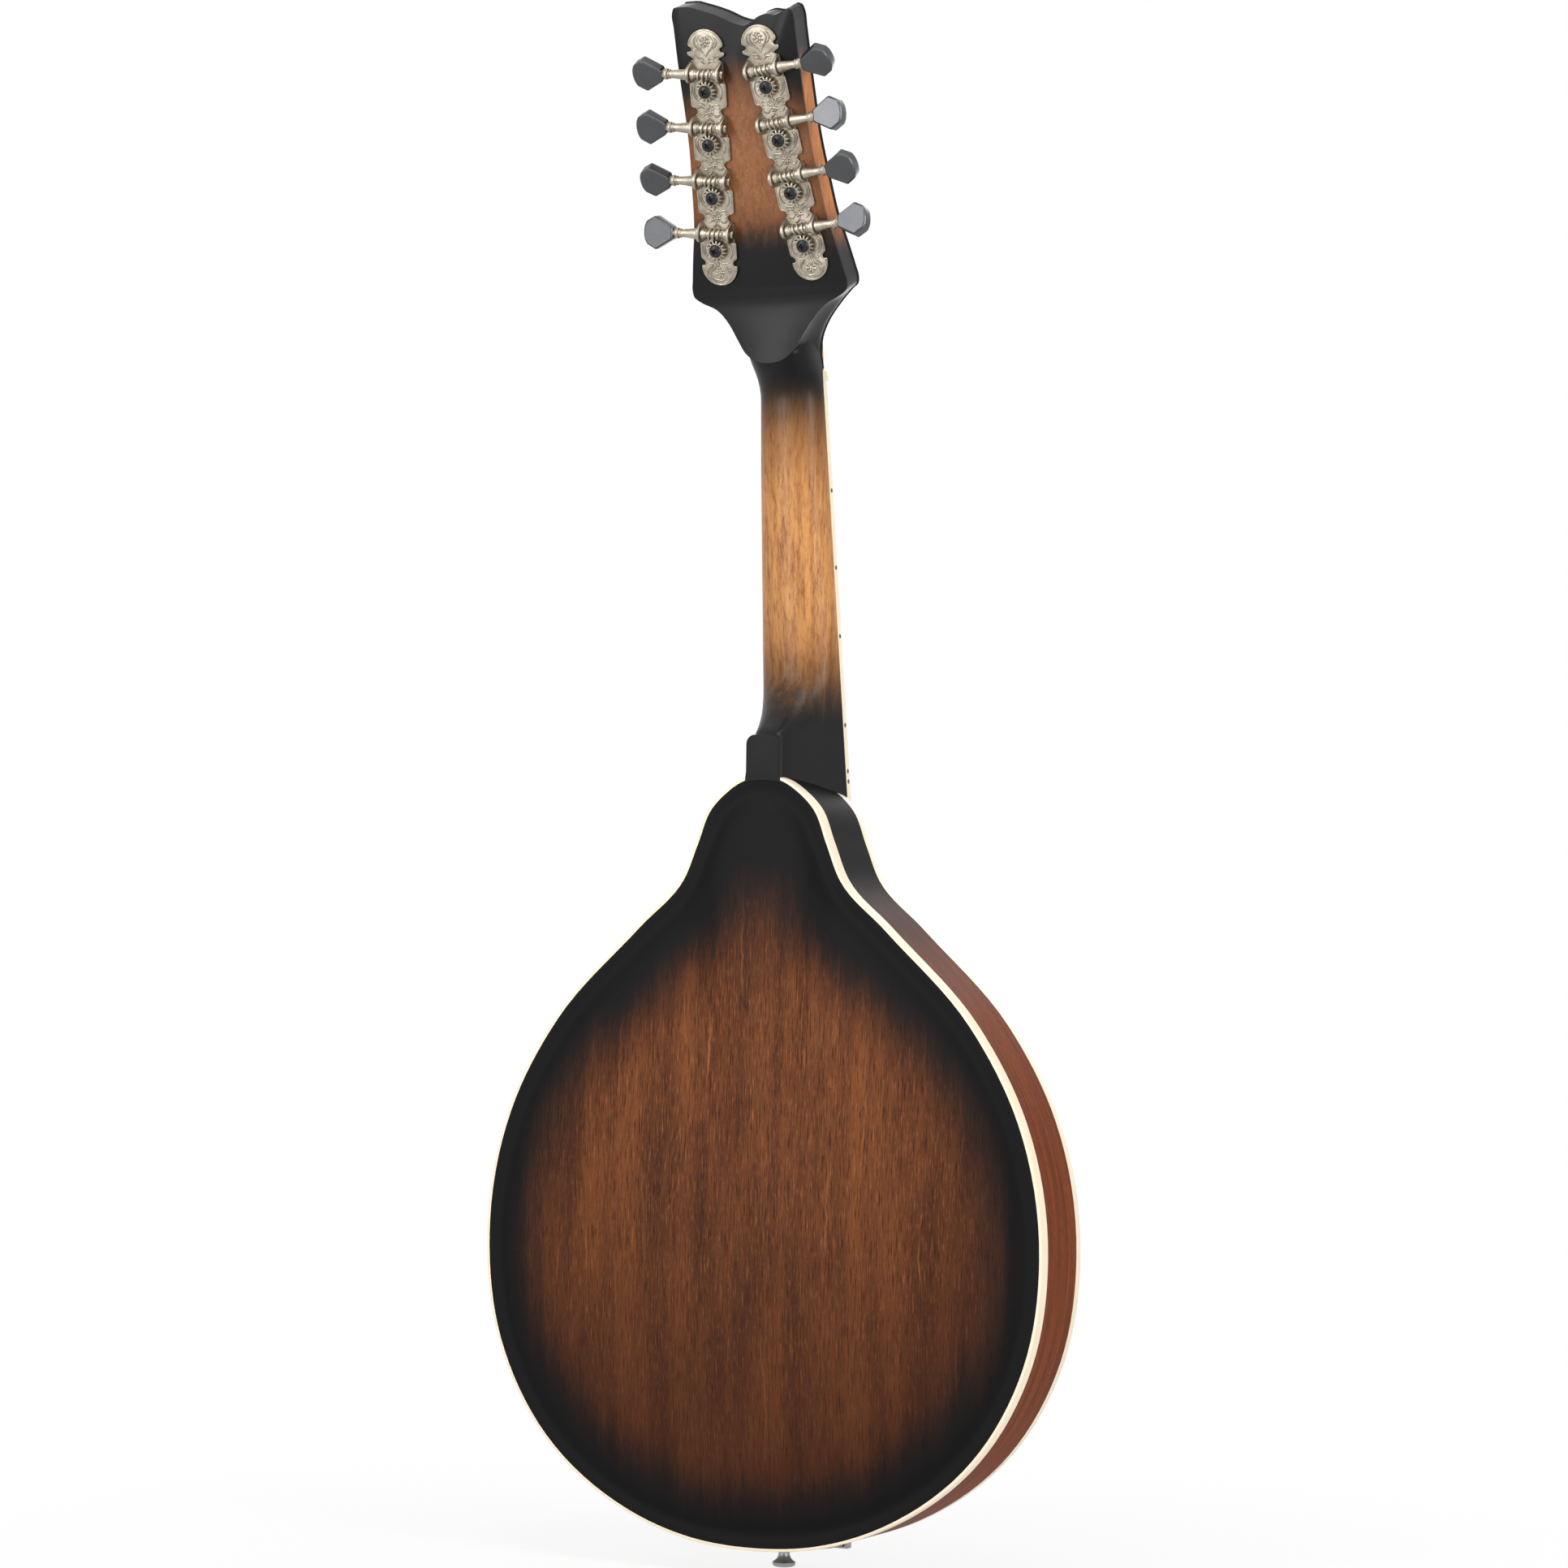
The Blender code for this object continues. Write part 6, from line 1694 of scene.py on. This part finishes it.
def build_tailpiece(layout):
    """Bent tailpiece with its hooks and screws, and the cover that slides over it."""
    tail, half = Tail(layout), 21.0
    tip = TAIL_END + TAIL_LONG
    bend, low = tail.bend, tail.low
    side = [(bend + 2.7, tail.foot), (bend + 2.7, low), (bend + 0.8, low), (bend + 0.2, low + 0.25),
            (bend, low + 0.9), (tail.front(tip), tip), (tail.front(tip, -TAIL_METAL), tip),
            (tail.front(tail.foot + 1.0, -TAIL_METAL), tail.foot + 1.0)]
    plate = bar("bent_plate", side, -half, half)
    bevel(plate, 0.2, 2, 40)
    edge = bend + 1.7
    curve = [tuple(point) for point in through([(15.0, -24.5), (9.0, -18.0), (5.0, -14.6)], 4)]
    flap = mirrored([(half - 0.4, edge), (half - 0.4, edge + 9)] + curve + [(0, -14.0)])
    foot = slab("flap", flap, low, tail.foot + 0.25)
    bevel(foot, 0.25, 2, 40)
    parts = [plate, foot]
    for number in range(8):
        x = string_x(number, TAIL_SPREAD)
        path = []
        for under, z, over in ((2.4, 2.4, -0.4), (2.4, 2.4, 1.4), (2.7, 2.8, 2.3), (4.0, 4.2, 2.7)):
            path.append((x, tail.front(tail.hook_z - under, over), tail.hook_z - z))
        parts.append(tube("hook", path, [0.65, 0.65, 0.6, 0.4], 10))
    settle(joined("tail_plate", parts), "nickel", "nickel", "tailpiece", place=layout.world, crease=35)
    screw = build_screw("tail_screw", 1.9, 0.9)
    down = Matrix.Rotation(math.pi, 4, "X")
    screws = [copied(screw, "tail_screw_copy", Matrix.Translation((x, y, low)) @ down)
              for x, y in ((6.4, -20.5), (-6.4, -20.5), (-14.0, -37.5), (14.0, -37.5))]
    discard(screw)
    settle(joined("tail_screws", screws), "nickel", "nickel", place=layout.world, crease=35)
    inside, thick, over = half + GAP, 1.0, COVER_OVER
    outside, grip = inside + thick, -TAIL_METAL / 2
    low -= COVER_BELOW
    outer = [(outside, grip)] + arc((outside - 2.2, over + thick - 2.2), 2.2, 0, 90, 8)
    inner = [(inside, grip)] + arc((inside - 1.6, over - 1.6), 1.6, 0, 90, 8)
    section = mirrored(outer) + list(reversed(mirrored(inner)))
    rings = []
    for z in (low + COVER_LONG * k / 20 for k in range(21)):
        rings.append([Vector((x, tail.front(z, level), z)) for x, level in section])
    cover = loft("cover_shell", rings)
    wall_points = mirrored([(outside, 1.0)] + outer[1:])
    wall = [(x * 0.999, tail.front(low, level * 0.999)) for x, level in wall_points]
    combine(cover, slab("cover_wall", wall, low - thick, low + 0.2), "UNION")
    bevel(cover, 0.25, 2, 50)
    line = []
    for x, v, start in ((15.2, 38.0, 0), (-15.2, 38.0, 90), (-15.2, 7.0, 180), (15.2, 7.0, 270)):
        line += arc((x, v), 3.0, start, start + 90, 5)
    line = [(x, tail.front(low + v, over + thick), low + v) for x, v in line + line[:1]]
    ridge = tube("ridge", line, 0.32)
    settle(joined("tail_cover", [cover, ridge]), "bright_chrome", "satin_chrome", "tailpiece_cover",
           body="cover", place=layout.world, crease=32)


def build_strap_button(layout):
    """Bell-shaped strap button on its screw."""
    start = -Tail(layout).low
    bell = [(-0.1, 1.9), (-0.1, 3.3), (0.5, 3.3), (1.1, 2.75), (2.4, 2.4), (3.8, 2.5), (5.0, 3.0), (5.9, 3.9),
            (6.3, 4.7), (6.7, 5.0), (7.5, 4.95), (8.1, 4.6), (8.5, 3.8), (8.6, 2.2)]
    profile = [(-TAIL_END - 6.0, 1.9)] + [(start + low, radius) for low, radius in bell]
    button = turn("strap_peg", profile, 40)
    pin = Matrix.Translation((0, PEG_FORWARD - layout.body.depth, 0))
    seat(button, pin @ Matrix.Rotation(math.pi, 4, "X"))
    settle(button, "bright_chrome", "satin_chrome", "strap_button", place=layout.world, crease=32)


def finish_inner_nodes():
    """Gives the model's hidden wood and rod their finishes."""
    for name in ("neck_block", "tail_block", "back_lining", "top_lining", "upper_brace", "lower_brace"):
        set_finish(frame["nodes"][name], "pale_wood")
    set_finish(frame["nodes"]["truss_rod"], "steel")


def set_finish(node, finish):
    """Puts a finish in a node's material slots."""
    if not node.material_slots:
        node.data.materials.append(FINISHES.get(finish))
    for slot in node.material_slots:
        slot.material = FINISHES.get(finish)


# Stage

LAMPS = (("lamp_right", (-1.9, 0.9, 0.25), (0.4, 1.8), 26.0),
         ("lamp_left", (0.8, 1.85, 0.3), (0.3, 1.8), 22.0),
         ("lamp_above", (-0.5, 0.8, 1.6), (1.0, 0.8), 15.0),
         ("lamp_front", (0.4, -1.8, 0.4), (1.4, 1.4), 16.0))
LAMP_AIM = Vector((0, 0, -0.2))
FLOOR_WIDE = 14.0
FLOOR_GAP = 0.0006
SENSOR = 36.0


def build_stage(scene):
    """Camera, white floor, soft lamps and the light all round."""
    sizes = in_millimetres(scene.mandolin_stage)
    swing, rise, roll = sizes.turn, sizes.rise, sizes.roll
    back = Vector((-math.sin(swing) * math.cos(rise), math.cos(swing) * math.cos(rise), math.sin(rise)))
    right = Vector((-math.cos(swing), -math.sin(swing), 0))
    up = back.cross(right)
    x_axis = right * math.cos(roll) - up * math.sin(roll)
    y_axis = right * math.sin(roll) + up * math.cos(roll)
    camera = bpy.data.objects.new("camera", bpy.data.cameras.new("camera"))
    scene.collection.objects.link(camera)
    camera.matrix_world = axes(x_axis, y_axis, back, Vector(sizes.aim) + back * (sizes.distance * 0.001))
    camera.data.sensor_width = SENSOR
    camera.data.lens = SENSOR * sizes.distance / sizes.view_wide
    camera.data.clip_start, camera.data.clip_end = 0.05, 50.0
    scene.camera = camera

    fresh()
    bpy.ops.mesh.primitive_plane_add(size=FLOOR_WIDE, location=(0, 0, packed_bounds[0].z - FLOOR_GAP))
    floor = bpy.context.object
    floor.name = "floor"
    paint = Paint(bpy.data.materials.new("pale_floor"))
    x, y = paint.place()[:2]
    away = ((x * x + y * y) ** 0.5).step(120.0, 520.0)
    mixed = paint.nodes.new("ShaderNodeMixShader")
    paint.feed(mixed.inputs[0], paint.seen() * (0.86 + away * 0.14))
    paint.links.new(paint.nodes["Principled BSDF"].outputs[0], mixed.inputs[1])
    paint.links.new(paint.nodes.new("ShaderNodeEmission").outputs[0], mixed.inputs[2])
    paint.links.new(mixed.outputs[0], paint.nodes["Material Output"].inputs[0])
    floor.data.materials.append(paint.finish({"Base_Color": (0.86, 0.86, 0.86), "Roughness": 0.9,
                                              "Specular_IOR_Level": 0.0}))

    paint = Paint(bpy.data.worlds.new("studio"))
    scene.world = paint.owner
    background = paint.nodes["Background"]
    paint.feed(background.inputs["Strength"], sizes.room_light + paint.seen() * (1.0 - sizes.room_light))
    paint.feed(background.inputs["Color"], (1.0, 1.0, 1.0))

    for name, spot, size, power in LAMPS:
        data = bpy.data.lights.new(name, "AREA")
        data.shape = "RECTANGLE"
        data.size, data.size_y = size
        data.energy = power * sizes.lamp_light
        lamp = bpy.data.objects.new(name, data)
        scene.collection.objects.link(lamp)
        lamp.location = spot
        lamp.rotation_euler = (Vector(spot) - LAMP_AIM).to_track_quat("Z", "Y").to_euler()
    scene.view_settings.view_transform = "Standard"


# Operators

class MandolinStep:
    """What every step shares."""
    bl_options = {"REGISTER", "UNDO"}

    def execute(self, context):
        """Builds the pieces of this step."""
        self.build(Layout(context.scene))
        return {"FINISHED"}


class MANDOLIN_OT_stage(bpy.types.Operator):
    """Sets up the camera, the floor and the lamps"""
    bl_idname = "mandolin.stage"
    bl_label = "Stage"

    def execute(self, context):
        """Builds the stage."""
        build_stage(context.scene)
        return {"FINISHED"}


class MANDOLIN_OT_plates(MandolinStep, bpy.types.Operator):
    """Models the carved back and the carved top"""
    bl_idname = "mandolin.plates"
    bl_label = "Carved back and top"
    build = staticmethod(build_plates)


class MANDOLIN_OT_soundhole(MandolinStep, bpy.types.Operator):
    """Inlays the rings round the soundhole"""
    bl_idname = "mandolin.soundhole"
    bl_label = "Soundhole rings"
    build = staticmethod(build_soundhole)


class MANDOLIN_OT_sides(MandolinStep, bpy.types.Operator):
    """Models the ribs and the two bindings"""
    bl_idname = "mandolin.sides"
    bl_label = "Ribs and bindings"
    build = staticmethod(build_sides)


class MANDOLIN_OT_neck(MandolinStep, bpy.types.Operator):
    """Models the neck with its headstock and heel cap"""
    bl_idname = "mandolin.neck"
    bl_label = "Neck and heel cap"
    build = staticmethod(build_neck)


class MANDOLIN_OT_fingerboard(MandolinStep, bpy.types.Operator):
    """Models the fingerboard with frets, dots and binding"""
    bl_idname = "mandolin.fingerboard"
    bl_label = "Fingerboard"
    build = staticmethod(build_fingerboard)


class MANDOLIN_OT_nut(MandolinStep, bpy.types.Operator):
    """Models the slotted nut"""
    bl_idname = "mandolin.nut"
    bl_label = "Nut"
    build = staticmethod(build_nut)


class MANDOLIN_OT_headstock_face(MandolinStep, bpy.types.Operator):
    """Models the headstock's veneer, truss rod cover and bushings"""
    bl_idname = "mandolin.headstock_face"
    bl_label = "Headstock face"
    build = staticmethod(build_headstock_face)


class MANDOLIN_OT_tuner_plates(MandolinStep, bpy.types.Operator):
    """Models the two engraved tuner plates"""
    bl_idname = "mandolin.tuner_plates"
    bl_label = "Tuner plates"
    build = staticmethod(build_plates_of_four)


class MANDOLIN_OT_gears(MandolinStep, bpy.types.Operator):
    """Models the gears with their posts and screws"""
    bl_idname = "mandolin.gears"
    bl_label = "Gears and posts"
    build = staticmethod(build_gears)


class MANDOLIN_OT_worms(MandolinStep, bpy.types.Operator):
    """Models the worms with their shafts"""
    bl_idname = "mandolin.worms"
    bl_label = "Worms and shafts"
    build = staticmethod(build_worms)


class MANDOLIN_OT_buttons(MandolinStep, bpy.types.Operator):
    """Models the tuner buttons"""
    bl_idname = "mandolin.buttons"
    bl_label = "Tuner buttons"
    build = staticmethod(build_buttons)


class MANDOLIN_OT_strings(MandolinStep, bpy.types.Operator):
    """Models the eight strings"""
    bl_idname = "mandolin.strings"
    bl_label = "Strings"
    build = staticmethod(build_strings)


class MANDOLIN_OT_bridge(MandolinStep, bpy.types.Operator):
    """Models the bridge"""
    bl_idname = "mandolin.bridge"
    bl_label = "Bridge"
    build = staticmethod(build_bridge)


class MANDOLIN_OT_tailpiece(MandolinStep, bpy.types.Operator):
    """Models the tailpiece and its cover"""
    bl_idname = "mandolin.tailpiece"
    bl_label = "Tailpiece"
    build = staticmethod(build_tailpiece)


class MANDOLIN_OT_strap_button(MandolinStep, bpy.types.Operator):
    """Models the strap button"""
    bl_idname = "mandolin.strap_button"
    bl_label = "Strap button"
    build = staticmethod(build_strap_button)


class MANDOLIN_OT_inner_wood(bpy.types.Operator):
    """Gives the blocks, linings, braces and rod their finishes"""
    bl_idname = "mandolin.inner_wood"
    bl_label = "Inner woodwork"

    def execute(self, context):
        """Sets the finishes."""
        finish_inner_nodes()
        return {"FINISHED"}


OPERATORS = [MANDOLIN_OT_stage, MANDOLIN_OT_plates, MANDOLIN_OT_soundhole, MANDOLIN_OT_sides,
             MANDOLIN_OT_neck, MANDOLIN_OT_fingerboard, MANDOLIN_OT_nut, MANDOLIN_OT_headstock_face,
             MANDOLIN_OT_tuner_plates, MANDOLIN_OT_gears, MANDOLIN_OT_worms, MANDOLIN_OT_buttons,
             MANDOLIN_OT_strings, MANDOLIN_OT_bridge, MANDOLIN_OT_tailpiece, MANDOLIN_OT_strap_button,
             MANDOLIN_OT_inner_wood]


class MANDOLIN_PT_panel(bpy.types.Panel):
    """The steps, in order"""
    bl_label = "Mandolin"
    bl_idname = "MANDOLIN_PT_panel"
    bl_space_type = "VIEW_3D"
    bl_region_type = "UI"
    bl_category = "Mandolin"

    def draw(self, context):
        """Lists the steps and the sizes."""
        for step in OPERATORS:
            self.layout.operator(step.bl_idname)
        for name, group in GROUPS.items():
            box = self.layout.box()
            for value in group.__annotations__:
                box.prop(getattr(context.scene, name), value)


def register():
    """Registers the classes and adds the property groups to the scene."""
    for kind in [*GROUPS.values(), *OPERATORS, MANDOLIN_PT_panel]:
        bpy.utils.register_class(kind)
    for name, group in GROUPS.items():
        setattr(bpy.types.Scene, name, PointerProperty(type=group))


def unregister():
    """Undoes what register did."""
    for name in GROUPS:
        delattr(bpy.types.Scene, name)
    for kind in reversed([*GROUPS.values(), *OPERATORS, MANDOLIN_PT_panel]):
        bpy.utils.unregister_class(kind)


def main():
    """Builds everything."""
    register()
    for item in list(bpy.data.objects):
        if item.name in ("Cube", "Light", "Camera"):
            bpy.data.objects.remove(item)
    for step in OPERATORS:
        result = getattr(bpy.ops.mandolin, step.bl_idname.split(".")[1])()
        if result != {"FINISHED"}:
            raise RuntimeError(f"{step.bl_label} was not finished")


if __name__ == "__main__":
    main()
